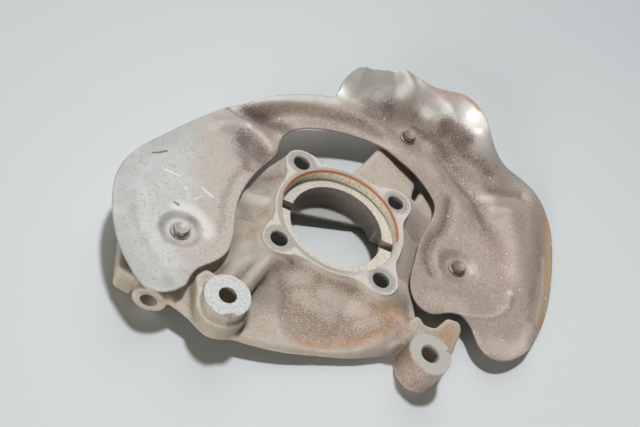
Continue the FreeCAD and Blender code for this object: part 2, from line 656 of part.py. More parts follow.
# Shield bolts: hexagon head on a flange, in one piece with the shank
def origin_plane(body, role):
    """Plane of a body's own origin by its role."""
    return [plane for plane in body.Origin.OriginFeatures if plane.Role == role][0]


def flange_bolt(side):
    """Turned blank with a hexagon padded on its flange."""
    body = document.addObject("PartDesign::Body", side + "_bolt")
    turned = body.newObject("Sketcher::SketchObject", side + "_bolt_profile")
    turned.AttachmentSupport = [(origin_plane(body, "XZ_Plane"), "")]
    turned.MapMode = "FlatFace"
    thread = size("bolt_thread") / 2.0
    flange_radius = size("bolt_flange") / 2.0
    neck = size("head_flats") / 2.0
    edge = size("bolt_flange_edge")
    tip = size("bolt_length")
    chamfer = size("bolt_chamfer")
    profile = [
        (0, -tip), (thread - chamfer, -tip), (thread, -tip + chamfer), (thread, 0), (flange_radius, 0),
        (flange_radius, edge / 2.0), (neck, edge), (0, edge),
    ]
    for index, start in enumerate(profile):
        end = profile[(index + 1) % len(profile)]
        turned.addGeometry(Part.LineSegment(FreeCAD.Vector(*start, 0), FreeCAD.Vector(*end, 0)), False)
    revolution = body.newObject("PartDesign::Revolution", side + "_bolt_blank")
    revolution.Profile = turned
    revolution.ReferenceAxis = (turned, ["V_Axis"])
    revolution.Angle = 360
    hexagon = body.newObject("Sketcher::SketchObject", side + "_bolt_hexagon")
    hexagon.AttachmentSupport = [(origin_plane(body, "XY_Plane"), "")]
    hexagon.MapMode = "FlatFace"
    corner = size("head_flats") / math.sqrt(3.0)
    corners = [FreeCAD.Vector(corner * math.cos(math.radians(60 * step)),
                              corner * math.sin(math.radians(60 * step)), 0) for step in range(6)]
    for index, start in enumerate(corners):
        hexagon.addGeometry(Part.LineSegment(start, corners[(index + 1) % 6]), False)
    head = body.newObject("PartDesign::Pad", side + "_bolt_head")
    head.Profile = hexagon
    bind(head, Length="sizes.head_height")
    bind(body, Placement__Base__x="sizes.%s_bolt_x" % side, Placement__Base__y="sizes.%s_bolt_y" % side,
         Placement__Base__z="-(sizes.sheet_level + sizes.dish_depth)")
    body.Label = side + "_shield_bolt"
    return body


bolts = [flange_bolt(side) for side in BOLTS]

document.recompute()

PIECES = [knuckle, shield] + bolts
for item in document.Objects:
    for state in ("Invalid", "Error"):
        if state in item.State:
            raise RuntimeError("%s is %s" % (item.Label, state))
for piece in PIECES:
    if piece.Shape.isNull() or not piece.Shape.isValid():
        raise RuntimeError("%s has no valid shape" % piece.Label)
    print(piece.Label, "solids", len(piece.Shape.Solids), "volume", round(piece.Shape.Volume, 1))

os.makedirs("parts", exist_ok=True)
for piece in PIECES:
    piece.Shape.exportStep("parts/%s.step" % piece.Label)
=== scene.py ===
# %% [markdown]
# # A used steering knuckle with its brake dust shield
# The real object is a light-alloy casting that carries a car's wheel bearing, with a pressed sheet
# shield held on by flange bolts. It lies face up on a pale bench. The measured model gives every size
# and place, and this lesson gives it the surfaces that a camera sees: cast skin, machined faces,
# pressed sheet, road dirt and wear.

import bpy
import numpy as np
from mathutils import Matrix, Vector


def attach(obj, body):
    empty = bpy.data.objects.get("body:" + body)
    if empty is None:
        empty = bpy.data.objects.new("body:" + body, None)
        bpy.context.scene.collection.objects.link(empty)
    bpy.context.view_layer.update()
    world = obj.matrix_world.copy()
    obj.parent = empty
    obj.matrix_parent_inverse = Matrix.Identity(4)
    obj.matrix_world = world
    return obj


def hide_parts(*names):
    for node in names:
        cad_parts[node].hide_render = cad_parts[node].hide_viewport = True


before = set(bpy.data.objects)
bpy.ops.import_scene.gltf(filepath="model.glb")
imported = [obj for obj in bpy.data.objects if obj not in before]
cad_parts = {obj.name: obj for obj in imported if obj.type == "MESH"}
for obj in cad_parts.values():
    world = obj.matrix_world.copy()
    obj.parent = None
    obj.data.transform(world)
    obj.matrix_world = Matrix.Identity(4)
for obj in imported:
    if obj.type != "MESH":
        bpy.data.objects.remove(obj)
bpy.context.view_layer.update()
MM = 0.001
print("nodes:", sorted(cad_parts))

# %% [markdown]
# ## Camera
# The photograph was taken from in front and above. Its place and turn were worked out from the round
# holes and the bolt heads, so the camera is given as a position and three directions in the frame of
# the hub bore. The lens follows from the width of the view on a 36 mm sensor.

# %% Camera
CAMERA_PLACE = (-0.1130, -0.4659, 0.4866)
CAMERA_RIGHT = (0.9138, 0.1875, 0.3603)
CAMERA_UP = (-0.3803, 0.7065, 0.5969)
CAMERA_BACK = (-0.1426, -0.6824, 0.7169)
FOCAL_PIXELS = 925.394
IMAGE_WIDTH = 640
SENSOR_MM = 36.0

camera_data = bpy.data.cameras.new("bench_camera")
camera_data.sensor_width = SENSOR_MM
camera_data.lens = FOCAL_PIXELS * SENSOR_MM / IMAGE_WIDTH
camera = bpy.data.objects.new("bench_camera", camera_data)
bpy.context.collection.objects.link(camera)
turned = Matrix((CAMERA_RIGHT, CAMERA_UP, CAMERA_BACK)).transposed().to_4x4()
camera.matrix_world = Matrix.Translation(CAMERA_PLACE) @ turned
bpy.context.scene.camera = camera
bpy.context.scene.view_settings.view_transform = "Standard"
print("lens %.2f mm" % camera_data.lens)

# %% [markdown]
# ## Helpers
# A colour in a shader is linear, while a colour given as a hex code is sRGB. One function turns one into
# the other. One more adds a node with its settings and links, and one puts numpy arrays into a mesh with
# any values that its material reads at each point.

# %% Colours, nodes and meshes
def paint(code):
    """An sRGB hex colour as linear red, green, blue and an alpha of one."""
    parts = np.array([int(code[place:place + 2], 16) for place in (1, 3, 5)]) / 255.0
    linear = np.where(parts <= 0.04045, parts / 12.92, ((parts + 0.055) / 1.055) ** 2.4)
    return (*linear.tolist(), 1.0)


def add(tree, kind, inputs=None, **settings):
    """A new node; settings are its properties, inputs are numbers or the sockets that feed it."""
    node = tree.nodes.new(kind)
    for name, value in settings.items():
        setattr(node, name, value)
    for name, value in (inputs or {}).items():
        if isinstance(value, bpy.types.NodeSocket):
            tree.links.new(value, node.inputs[name])
        else:
            node.inputs[name].default_value = value
    return node


def put_mesh(name, points, face_groups, values=None):
    """An object from points in millimetres and arrays of faces with equal numbers of corners."""
    mesh = bpy.data.meshes.new(name)
    mesh.vertices.add(len(points))
    mesh.vertices.foreach_set("co", (np.asarray(points) * MM).astype(np.float32).ravel())
    corners = np.concatenate([group.ravel() for group in face_groups]).astype(np.int32)
    sizes = np.concatenate([np.full(len(group), group.shape[1]) for group in face_groups])
    mesh.loops.add(len(corners))
    mesh.loops.foreach_set("vertex_index", corners)
    mesh.polygons.add(len(sizes))
    mesh.polygons.foreach_set("loop_start", (np.cumsum(sizes) - sizes).astype(np.int32))
    mesh.update(calc_edges=True)
    mesh.validate()
    for label, numbers in (values or {}).items():
        store = mesh.attributes.new(label, "FLOAT", "POINT")
        store.data.foreach_set("value", np.asarray(numbers, dtype=np.float32))
    mesh.shade_smooth()
    piece = bpy.data.objects.new(name, mesh)
    bpy.context.collection.objects.link(piece)
    return piece


def smooth(start, end, value):
    """0 before the start, 1 after the end, and an even curve between them."""
    share = np.clip((value - start) / (end - start), 0.0, 1.0)
    return share * share * (3.0 - 2.0 * share)


def run_distance(x, y, run):
    """Plan distance from each point to a chain of straight runs or to one point, in millimetres."""
    nearest = np.full(np.broadcast(x, y).shape, 1e9)
    for (x0, y0), (x1, y1) in zip(run[:-1], run[1:]) if len(run) > 1 else [(run[0], run[0])]:
        length = max((x1 - x0) ** 2 + (y1 - y0) ** 2, 1e-9)
        share = np.clip(((x - x0) * (x1 - x0) + (y - y0) * (y1 - y0)) / length, 0.0, 1.0)
        away = np.hypot(x - x0 - share * (x1 - x0), y - y0 - share * (y1 - y0))
        nearest = np.minimum(nearest, away)
    return nearest


def outline_distance(x, y, outline):
    """Plan distance to a closed outline, less than nothing inside it."""
    closed = np.vstack([outline, outline[:1]])
    nearest = run_distance(x, y, closed.tolist())
    crossings = np.zeros(nearest.shape, dtype=int)
    for (x0, y0), (x1, y1) in zip(closed[:-1], closed[1:]):
        if y0 != y1:
            spans = (y0 > y) != (y1 > y)
            crossings += spans & (x < (x1 - x0) * (y - y0) / (y1 - y0) + x0)
    return np.where(crossings % 2 == 1, -nearest, nearest)


def strokes(x, y, rows):
    """Soft brush strokes, the strongest where they meet; a row is a run, a half width and a strength."""
    total = np.zeros(np.broadcast(x, y).shape)
    for run, width, strength in rows:
        total = np.maximum(total, strength * np.exp(-(run_distance(x, y, run) / width) ** 2))
    return total


# %% [markdown]
# ## Dust shield: its outline
# The shield is one blank of thin aluminium sheet, cut to a free outline and pressed. A smooth curve
# through a few dozen measured points gives each side. A natural cubic spline passes through every
# point and bends as little as it can, as a cutting die does.

# %% Outline of the sheet
SHEET_SIDES = [
    [(-109, 73), (-127, 47), (-145, 17), (-157, -6), (-161, -28), (-157, -52), (-149, -72), (-138, -90),
     (-124, -105), (-111, -113), (-99, -110), (-89, -99)],
    [(-89, -99), (-86, -84), (-78, -74), (-71, -62), (-70, -46), (-74, -24), (-75, -6), (-72, 13),
     (-66, 31), (-60, 45), (-60, 63), (-54, 80), (-40, 92), (-20, 102), (2, 108), (24, 108), (38, 100),
     (54, 90), (67, 78), (75, 66), (74, 46), (68, 22), (66, 0), (66, -26), (73, -39), (82, -43),
     (94, -38), (106, -34), (115, -38), (124, -53), (138, -60), (152, -54), (165, -40)],
    [(165, -40), (176, -15), (183, 14), (186, 50), (186, 78), (182, 104), (173, 120), (162, 131)],
    [(162, 131), (148, 135), (132, 135), (118, 139), (108, 149), (101, 166), (93, 177), (79, 184),
     (60, 179), (40, 178), (24, 179), (10, 172), (-4, 168), (-16, 165), (-24, 158), (-26, 148),
     (-27, 136)],
    [(-27, 136), (-47, 127), (-68, 113), (-86, 97), (-99, 82), (-109, 73)],
]


def spline(points, spacing=3.0):
    """Natural cubic through the points, even in arc length, without its last point."""
    points = np.array(points, dtype=float)
    knots = np.concatenate([[0.0], np.cumsum(np.hypot(*np.diff(points, axis=0).T))])
    steps = np.diff(knots)
    count = len(points)
    system = np.eye(count)
    right = np.zeros((count, 2))
    inner = np.arange(1, count - 1)
    system[inner, inner - 1] = steps[:-1]
    system[inner, inner] = 2.0 * (steps[:-1] + steps[1:])
    system[inner, inner + 1] = steps[1:]
    slopes = np.diff(points, axis=0) / steps[:, None]
    right[1:-1] = 6.0 * np.diff(slopes, axis=0)
    bends = np.linalg.solve(system, right)
    places = np.linspace(0.0, knots[-1], int(knots[-1] / spacing) + 2)[:-1]
    piece = np.clip(np.searchsorted(knots, places, side="right") - 1, 0, count - 2)
    before = (places - knots[piece])[:, None]
    after = (knots[piece + 1] - places)[:, None]
    step = steps[piece][:, None]
    start_bend, end_bend = bends[piece], bends[piece + 1]
    cubic = (start_bend * after ** 3 + end_bend * before ** 3) / (6.0 * step)
    straight = (points[piece] / step - start_bend * step / 6.0) * after
    straight += (points[piece + 1] / step - end_bend * step / 6.0) * before
    return cubic + straight


sheet_outline = np.vstack([spline(side) for side in SHEET_SIDES])
print("outline of the sheet: %d points" % len(sheet_outline))

# %% [markdown]
# ## Dust shield: its pressed form
# A press lifts and lowers the flat blank, so the sheet's outer side is a height over the plan. The
# height is a sum of plain terms: a channel along the band, a tall fluted flange at the top, a rolled
# right edge, soft ridges and grooves along lines, a few bowls, and three dishes with flat floors where
# the bolts sit. One formula for the whole sheet keeps every slope smooth where two forms meet.

# %% Height of the sheet
SHEET_LEVEL = -10.0
SHEET_THICKNESS = 1.5
BOLTS = {"left": (-105.5, -57.0), "upper": (43.0, 131.0), "right": (101.5, 11.0)}
DISH_DEPTH = 3.0
DISHES = {"left": (10.0, 17.0), "upper": (8.5, 25.0), "right": (9.5, 18.0)}
CREST = [(-106, 54), (-97, 60), (-87, 63), (-77, 61), (-69, 55), (-65, 49)]
LEFT_CREASE = [(-142, -40), (-136, -60), (-127, -72), (-112, -86), (-96, -101)]
GROOVE = [(66, 134), (80, 119), (96, 103), (112, 86), (122, 66)]
CRESCENT = [(88, 76), (88, 58), (86, 44), (79, 30), (75, 14), (77, 4), (82, -5)]
LOWER_CREASE = [(99, -36), (111, -32), (123, -28), (133, -23), (140, -17), (145, -7), (147, 6)]
RIDGES = [
    (CREST, 8.0, 3.4),
    ([(-140, -55), (-145, -23), (-141, 0), (-132, 18), (-116, 44)], 9.0, 1.0),
    (LEFT_CREASE, 5.0, -0.8),
    (GROOVE, 9.0, -3.0),
    ([(52, 112), (62, 111), (74, 101)], 7.0, 1.5),
    (CRESCENT, 4.5, -2.8),
    ([(81, 34), (83, 18), (87, 2)], 3.5, 0.8),
    ([(128, 92), (142, 88), (150, 60), (154, 24)], 12.0, 2.2),
    (LOWER_CREASE, 3.0, 0.9),
    ([(92, 127), (105, 124), (118, 120)], 6.5, -2.0),
    ([(123, 107), (138, 112), (152, 117)], 5.5, -1.8),
    ([(-79, 42)], 13.0, -3.0),
    ([(-72, 80)], 15.0, -3.5),
    ([(86, 160)], 13.0, -5.0),
    ([(48, 158)], 15.0, -3.5),
]


def sheet_height(x, y):
    """Level of the outer side in millimetres: the flat sheet plus each pressed form in turn."""
    radius = np.hypot(x, y)
    angle = np.degrees(np.arctan2(y, x))
    band = smooth(150.0, 128.0, angle) * smooth(60.0, 84.0, angle)
    level = band * (2.5 * smooth(116.0, 127.0, radius) - 4.0 * np.exp(-((radius - 112.0) / 9.0) ** 2))
    upper = smooth(104.0, 94.0, angle) * smooth(38.0, 58.0, angle)
    flute = 0.94 + 0.06 * np.cos(np.radians((angle - 96.0) * 8.5))
    rise = smooth(136.0, 180.0, radius)
    level += upper * flute * 25.0 * rise
    across = 0.8 * x + 0.6 * y
    level += 1.1 * upper * rise * smooth(140.0, 125.0, across) * np.cos(np.radians((across - 104.0) * 18.0))
    level -= 6.0 * smooth(160.0, 182.0, x) * smooth(150.0, 90.0, y)
    for run, width, height in RIDGES:
        level += height * np.exp(-(run_distance(x, y, run) / width) ** 2)
    dishes = 0.0
    for name, (bolt_x, bolt_y) in BOLTS.items():
        floor_radius, rim_radius = DISHES[name]
        away = np.hypot(x - bolt_x, y - bolt_y)
        level *= smooth(floor_radius, 32.0, away)
        dishes -= DISH_DEPTH * smooth(rim_radius, floor_radius, away)
    return SHEET_LEVEL + level + dishes


# %% [markdown]
# ## Dust shield: its mesh
# A square grid in plan follows the pressed form well, but its edge would be a staircase. So grid
# points near the outline slide onto it, and cells that the outline crosses are cut there, which is the
# marching squares method done for all cells at once. The outer side is then copied along its own
# normals to give the sheet its thickness, and a rounded strip joins the two along the cut edge.

# %% Cut a grid to the outline
SHEET_SPACING = 1.0


def clipped_grid(outline, spacing):
    """Plan points and face groups of a grid cut to a closed outline."""
    low = outline.min(axis=0) - 2.0 * spacing
    counts = np.ceil((outline.max(axis=0) - low) / spacing).astype(int) + 3
    x, y = np.meshgrid(*(low[axis] + spacing * np.arange(counts[axis]) for axis in (0, 1)), indexing="ij")
    away = outline_distance(x, y, outline)
    step_x, step_y = np.gradient(away, spacing)
    near = np.abs(away) < 0.35 * spacing
    x = np.where(near, x - away * step_x, x)
    y = np.where(near, y - away * step_y, y)
    away = np.where(near, -1e-6, away)
    inside = away < 0
    points = [np.stack([x.ravel(), y.ravel()], axis=1)]
    numbers = np.arange(x.size).reshape(x.shape)
    total = x.size
    crossings = {}
    for axis in (0, 1):
        first = tuple(slice(None, -1) if axis == place else slice(None) for place in (0, 1))
        last = tuple(slice(1, None) if axis == place else slice(None) for place in (0, 1))
        cuts = inside[first] != inside[last]
        share = away[first][cuts] / (away[first][cuts] - away[last][cuts])
        ends = [np.stack([x[part][cuts], y[part][cuts]], axis=1) for part in (first, last)]
        points.append(ends[0] + share[:, None] * (ends[1] - ends[0]))
        index = np.full(cuts.shape, -1)
        index[cuts] = total + np.arange(cuts.sum())
        total += cuts.sum()
        crossings[axis] = index
    corner_ids = [numbers[:-1, :-1], numbers[1:, :-1], numbers[1:, 1:], numbers[:-1, 1:]]
    edge_ids = [crossings[0][:, :-1], crossings[1][1:, :], crossings[0][:, 1:], crossings[1][:-1, :]]
    flags = [inside[:-1, :-1], inside[1:, :-1], inside[1:, 1:], inside[:-1, 1:]]
    case = sum(flag.astype(int) << place for place, flag in enumerate(flags))
    groups = {}
    for kind in range(1, 16):
        cells = case == kind
        columns = []
        for place in range(4):
            here, following = kind >> place & 1, kind >> (place + 1) % 4 & 1
            if here:
                columns.append(corner_ids[place][cells])
            if here != following:
                columns.append(edge_ids[place][cells])
        groups.setdefault(len(columns), []).append(np.stack(columns, axis=1))
    faces = [np.vstack(group) for group in groups.values()]
    return np.vstack(points), [group for group in faces if len(group)]


def merged(points, face_groups, closeness=0.02):
    """Join points that share a place, drop faces that lose their area, and number the rest anew."""
    keys = np.round(points / closeness).astype(np.int64)
    _, first, back = np.unique(keys, axis=0, return_index=True, return_inverse=True)
    back = back.ravel()
    triangles = []
    quads = []
    for group in face_groups:
        group = back[group]
        if group.shape[1] == 4:
            whole = np.array([len(set(row)) == 4 for row in group.tolist()])
            quads.append(group[whole])
            group = group[~whole]
        fan = [group[:, [0, place, place + 1]] for place in range(1, group.shape[1] - 1)]
        triangles.extend(fan)
    triangles = np.vstack(triangles)
    distinct = (triangles[:, 0] != triangles[:, 1]) & (triangles[:, 1] != triangles[:, 2])
    distinct &= triangles[:, 0] != triangles[:, 2]
    triangles = triangles[distinct]
    quads = np.vstack(quads)
    used = np.unique(np.concatenate([triangles.ravel(), quads.ravel()]))
    renumber = np.full(len(first), -1)
    renumber[used] = np.arange(len(used))
    return points[first][used], [renumber[triangles], renumber[quads]]


def open_edges(face_groups):
    """Directed edges that only one face uses."""
    edges = np.vstack([np.stack([group, np.roll(group, -1, axis=1)], axis=2).reshape(-1, 2)
                       for group in face_groups])
    keys = np.sort(edges, axis=1)
    _, back, uses = np.unique(keys, axis=0, return_inverse=True, return_counts=True)
    return edges[uses[back.ravel()] == 1]


plan_points, plan_faces = merged(*clipped_grid(sheet_outline, SHEET_SPACING))
rim = open_edges(plan_faces)
print("sheet: %d plan points, %d rim edges" % (len(plan_points), len(rim)))

# %% Give the sheet its form and thickness
def sheet_normals(x, y):
    """Unit normals of the height surface from small differences."""
    step = 0.2
    slope_x = (sheet_height(x + step, y) - sheet_height(x - step, y)) / (2.0 * step)
    slope_y = (sheet_height(x, y + step) - sheet_height(x, y - step)) / (2.0 * step)
    normals = np.stack([-slope_x, -slope_y, np.ones_like(slope_x)], axis=1)
    return normals / np.linalg.norm(normals, axis=1, keepdims=True)


sheet_x, sheet_y = plan_points.T
sheet_z = sheet_height(sheet_x, sheet_y)
upper_side = np.stack([sheet_x, sheet_y, sheet_z], axis=1)
normals = sheet_normals(sheet_x, sheet_y)
lower_side = upper_side - SHEET_THICKNESS * normals
count = len(plan_points)
rim_points = np.unique(rim)
rim_place = np.full(count, -1)
rim_place[rim_points] = 2 * count + np.arange(len(rim_points))
along = np.zeros((count, 2))
for column in (0, 1):
    np.add.at(along, rim[:, column], plan_points[rim[:, 1]] - plan_points[rim[:, 0]])
outwards = np.stack([along[rim_points, 1], -along[rim_points, 0], np.zeros(len(rim_points))], axis=1)
outwards /= np.linalg.norm(outwards, axis=1, keepdims=True)
middle = 0.5 * (upper_side[rim_points] + lower_side[rim_points]) + 0.45 * outwards
strips = [np.stack([rim[:, 1], rim[:, 0], rim_place[rim[:, 0]], rim_place[rim[:, 1]]], axis=1),
          np.stack([rim_place[rim[:, 1]], rim_place[rim[:, 0]], rim[:, 0] + count, rim[:, 1] + count],
                   axis=1)]
under_faces = [group[:, ::-1] + count for group in plan_faces]
sheet_points = np.vstack([upper_side, lower_side, middle])

# %% [markdown]
# ## Dust shield: where dirt and wear lie
# Road dirt gathers in creases and round the bolts, stones and tools rub high spots bare, and brake dust
# turns most of the sheet brown. Each kind gets a mask of soft brush strokes in plan, with half widths
# in millimetres, laid where the real sheet shows it. Two masks are painted light as well: the pale one is
# partly rubbed metal and partly painted highlights and reflections, and the near-white one on the top
# flange and the crest is painted highlight only. The masks are stored on the points of the mesh and
# the material reads them. A painted image would need the sheet unwrapped and would blur close up.

# %% Dirt and wear on the sheet
def arc(centre, radius, first, last):
    """Plan points along an arc between two bearings in degrees."""
    turns = np.radians(np.linspace(first, last, 7))
    return [(centre[0] + radius * np.cos(turn), centre[1] + radius * np.sin(turn)) for turn in turns]


x, y = sheet_points[:, 0], sheet_points[:, 1]
edge_distance = -outline_distance(x, y, sheet_outline)
inner_edge = smooth(-110.0, -90.0, x) * smooth(-90.0, -10.0, y)
inner_edge *= smooth(62.0, 50.0, y) * smooth(-40.0, -60.0, x)
lobe = smooth(-66.0, -98.0, x + 0.25 * (y - 60.0))
sheet_values = {
    "brown": 1.0 - lobe,
    "beige": smooth(-128.0, -92.0, x + 0.2 * y) * smooth(110.0, 70.0, y),
    "cool": strokes(x, y, [([(-150, -55), (-156, -20), (-143, 10), (-124, 44), (-106, 68)], 11.0, 0.8),
                           ([(-146, -72), (-132, -95), (-114, -108)], 9.0, 1.0),
                           ([(-104, -106), (-92, -96), (-88, -84)], 7.0, 1.0)]),
    "strip": inner_edge * np.exp(-((edge_distance - 10.0) / 3.5) ** 2),
    "grey": strokes(x, y, [
        ([(-26, 148), (-10, 158), (10, 162), (32, 168)], 16.0, 1.0), ([(44, 160), (70, 158)], 9.0, 0.8),
        ([(84, 168), (98, 156), (110, 142)], 13.0, 1.0), ([(112, 142), (130, 132), (150, 128)], 8.0, 0.6),
        ([(-104, 80), (-84, 98), (-64, 113), (-44, 125), (-26, 132)], 6.0, 0.8),
        ([(138, 96), (146, 64), (150, 30)], 12.0, 0.3), ([(-18, 150), (-6, 143)], 8.0, 0.5),
    ]),
    # Painted highlights on the top flange, and one on the crest.
    "painted_highlight": strokes(x, y, [([(28, 167), (24, 161)], 5.0, 1.0), ([(48, 156), (54, 154)], 4.0, 0.7),
                            ([(82, 164), (90, 156)], 7.0, 1.0), ([(-87, 63)], 3.0, 0.8)]),
    "dark": strokes(x, y, [
        ([(-86, 49), (-77, 43), (-66, 37)], 9.0, 1.0), ([(-92, 80), (-76, 83), (-58, 82)], 8.0, 0.95),
        ([(-107, 73), (-95, 70), (-88, 72)], 2.5, 0.6), ([(-84, 36), (-76, 22)], 6.0, 0.6),
        ([(-44, 98), (-16, 110), (12, 116), (32, 118)], 8.0, 0.65), ([(6, 136), (20, 143)], 9.0, 1.2),
        ([(34, 145), (46, 147), (56, 141)], 9.0, 1.2), ([(70, 146), (80, 143), (86, 136)], 8.0, 1.3),
        ([(43, 131)], 15.0, 1.0), (GROOVE, 7.0, 0.85), ([(92, 127), (105, 124), (118, 120)], 5.0, 0.6),
        ([(123, 107), (138, 112), (152, 117)], 4.0, 0.6), (CRESCENT, 3.2, 0.8),
        ([(-30, 106), (-6, 122), (16, 130)], 8.0, 0.5), ([(112, 76), (126, 60)], 9.0, 0.4),
    ]),
    # Pale: partly rubbed bare metal and partly painted light, namely highlights on the top flange, the crest
    # and the lower crease, and reflections in the left and right bolt dishes.
    "pale": strokes(x, y, [
        ([(28, 167), (24, 160)], 7.0, 0.9), ([(42, 157), (60, 154), (74, 153)], 5.0, 0.7),
        ([(84, 164), (94, 153), (102, 144)], 12.0, 0.9),
        ([(-90, 62), (-78, 61), (-70, 54)], 5.0, 0.45),
        (arc(BOLTS["left"], 19.0, 15.0, 115.0), 6.0, 0.9), (arc(BOLTS["right"], 13.0, 10.0, 80.0), 3.0, 0.7),
        (LOWER_CREASE, 1.6, 0.35), ([(166, -18), (160, -36), (150, -48)], 5.0, 0.5), ([(118, 66)], 6.0, 0.6),
        ([(104, 90), (124, 98)], 5.0, 0.5), ([(124, 84), (140, 92)], 5.0, 0.4), ([(147, 6)], 3.0, 0.8),
        ([(5, 150), (14, 160)], 4.0, 0.5), ([(-10, 142), (-2, 152)], 4.0, 0.4),
        ([(172, -8), (178, 30), (177, 62)], 2.5, 0.45),
    ]),
    "pink": strokes(x, y, [(arc(BOLTS["left"], 13.5, 190.0, 345.0), 2.5, 0.9), ([(-70, -30)], 9.0, 0.4),
                           ([(46, 172), (70, 178)], 9.0, 0.6), ([(112, 150), (118, 138)], 6.0, 0.5)]),
    "red": strokes(x, y, [
        ([(124, 62), (133, 42), (136, 20)], 12.0, 0.8), ([(171, 84), (174, 44), (167, 8)], 6.0, 0.7),
        ([(150, 116), (160, 104)], 6.0, 0.4),
    ]),
    "tan": (smooth(9.0, 4.0, edge_distance) * smooth(160.0, 172.0, x)
            * smooth(-30.0, 0.0, y) * smooth(124.0, 96.0, y)),
    "dust": np.maximum(0.2 * smooth(-70.0, -30.0, x), strokes(x, y, [
        ([(138, -48), (152, -49), (160, -40)], 10.0, 1.0), ([(-50, 92), (-10, 108), (34, 118)], 13.0, 0.85),
        ([(36, 140)], 16.0, 1.0), ([(112, 40), (128, 20)], 24.0, 0.6), ([(-64, 52), (-62, 66)], 6.0, 0.9),
        ([(84, -30), (110, -24)], 10.0, 0.6), ([(84, 119), (104, 101)], 9.0, 0.5),
        ([(174, 40), (170, -10)], 5.0, 0.6), ([(130, -56), (120, -46)], 5.0, 0.8),
        ([(30, 150), (60, 146)], 6.0, 0.7),
    ])),
    "scratch": strokes(x, y, [
        ([(-145, -2), (-140, 1), (-136, 5)], 0.8, 1.0), ([(-117, -37), (-113, -38)], 1.0, 0.9),
        ([(-151, -9), (-150, -14), (-146, -16), (-145, -12)], 0.6, 0.6), ([(-107, 22), (-105, 20)], 0.8, 0.5),
        ([(-139, -42)], 1.2, 0.6), ([(-136, -47), (-134, -51)], 0.7, 0.6), ([(-83, -55)], 0.8, 0.5),
    ]),
    "scuff": strokes(x, y, [
        ([(-132, -12), (-127, -12), (-121, -12)], 1.0, 0.8), ([(-113, -21)], 1.6, 0.7),
        ([(-103, -14), (-98, -17), (-93, -19)], 1.0, 0.8), ([(-100, -22), (-104, -27)], 0.8, 0.7),
    ]),
    "chip": strokes(x, y, [([(82, 181), (89, 179), (94, 174)], 2.2, 1.0)]),
}
shield = put_mesh("dust_shield_skin", sheet_points, plan_faces + under_faces + strips, sheet_values)
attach(shield, "root")
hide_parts("dust_shield")
print("shield: %d faces" % len(shield.data.polygons))

# %% [markdown]
# ## Casting: its form as a distance
# The knuckle is cast in one pour, so ribs, bosses and webs flow into each other with soft fillets. A
# distance field suits that: each form is a function that says how far a point lies from its surface,
# and two forms join by a rounded minimum of their distances, which is the fillet. Separate swept or
# lofted pieces would meet in hard creases. The field is sampled as whole arrays on a fine grid.

# %% Sampling grid and joining rules
VOXEL = 1.15
FIELD_LOW = np.array([-148.0, -126.0, -46.0])
FIELD_HIGH = np.array([120.0, 154.0, 5.0])
field_counts = np.ceil((FIELD_HIGH - FIELD_LOW) / VOXEL).astype(int) + 1
line_x, line_y, line_z = (
    (FIELD_LOW[axis] + VOXEL * np.arange(field_counts[axis])).astype(np.float32) for axis in range(3))
plan_x, plan_y = np.meshgrid(line_x, line_y, indexing="ij")
field_x, field_y, field_z = line_x[:, None, None], line_y[None, :, None], line_z[None, None, :]


def joined(first, second, fillet):
    """Union of two distance fields with a fillet: a minimum rounded over that width."""
    share = np.clip(0.5 + 0.5 * (second - first) / fillet, 0.0, 1.0)
    return second + (first - second) * share - fillet * share * (1.0 - share)


def common(first, second, edge):
    """Intersection with a rounded edge: the same rule on the fields turned inside out."""
    return -joined(-first, -second, edge)


def rounded(corners, steps=7):
    """Closed outline with tangent arcs at its corners, each given as x, y and radius."""
    corners = np.array(corners, dtype=float)
    at, radii = corners[:, :2], corners[:, 2]
    before = np.roll(at, 1, axis=0) - at
    after = np.roll(at, -1, axis=0) - at
    before /= np.linalg.norm(before, axis=1, keepdims=True)
    after /= np.linalg.norm(after, axis=1, keepdims=True)
    half = 0.5 * np.arccos(np.clip((before * after).sum(axis=1), -1.0, 1.0))
    reach = (radii / np.tan(half))[:, None]
    middle = before + after
    middle /= np.linalg.norm(middle, axis=1, keepdims=True)
    centres = at + middle * (radii / np.sin(half))[:, None]
    first, last = at + before * reach - centres, at + after * reach - centres
    start = np.arctan2(first[:, 1], first[:, 0])
    turn = np.arctan2(last[:, 1], last[:, 0]) - start
    turn = (turn + np.pi) % (2.0 * np.pi) - np.pi
    angles = start[:, None] + turn[:, None] * np.linspace(0.0, 1.0, steps)
    arcs = radii[:, None, None] * np.stack([np.cos(angles), np.sin(angles)], axis=2)
    return (centres[:, None, :] + arcs).reshape(-1, 2)


def prism(corners, low, high, edge=1.5):
    """Distance to an upright prism over a rounded outline between two levels."""
    away = outline_distance(plan_x, plan_y, rounded(corners)).astype(np.float32)[:, :, None]
    return common(away, np.maximum(low - field_z, field_z - high), edge)


def upright(centre, radius, low, high, edge=1.0):
    """Distance to an upright cylinder."""
    away = np.hypot(field_x - centre[0], field_y - centre[1]) - radius
    return common(away, np.maximum(low - field_z, field_z - high), edge)


def rod(start, end, radius):
    """Distance to a rod with round ends between two points in space."""
    start, end = np.array(start), np.array(end)
    run = end - start
    share = (field_x - start[0]) * run[0] + (field_y - start[1]) * run[1] + (field_z - start[2]) * run[2]
    share = np.clip(share / (run @ run), 0.0, 1.0)
    return np.sqrt((field_x - start[0] - share * run[0]) ** 2 + (field_y - start[1] - share * run[1]) ** 2
                   + (field_z - start[2] - share * run[2]) ** 2) - radius


print("field: %s samples" % " x ".join(str(number) for number in field_counts))

# %% [markdown]
# ## Casting: skin, flange and bosses
# The outboard skin falls from the machined flange to a low web, a low left wing and an upper arm, so
# it is a height over the plan as the sheet was. Everything that will be machined is left too tall by
# a few millimetres, as a foundry does, and the cutters take it down afterwards.

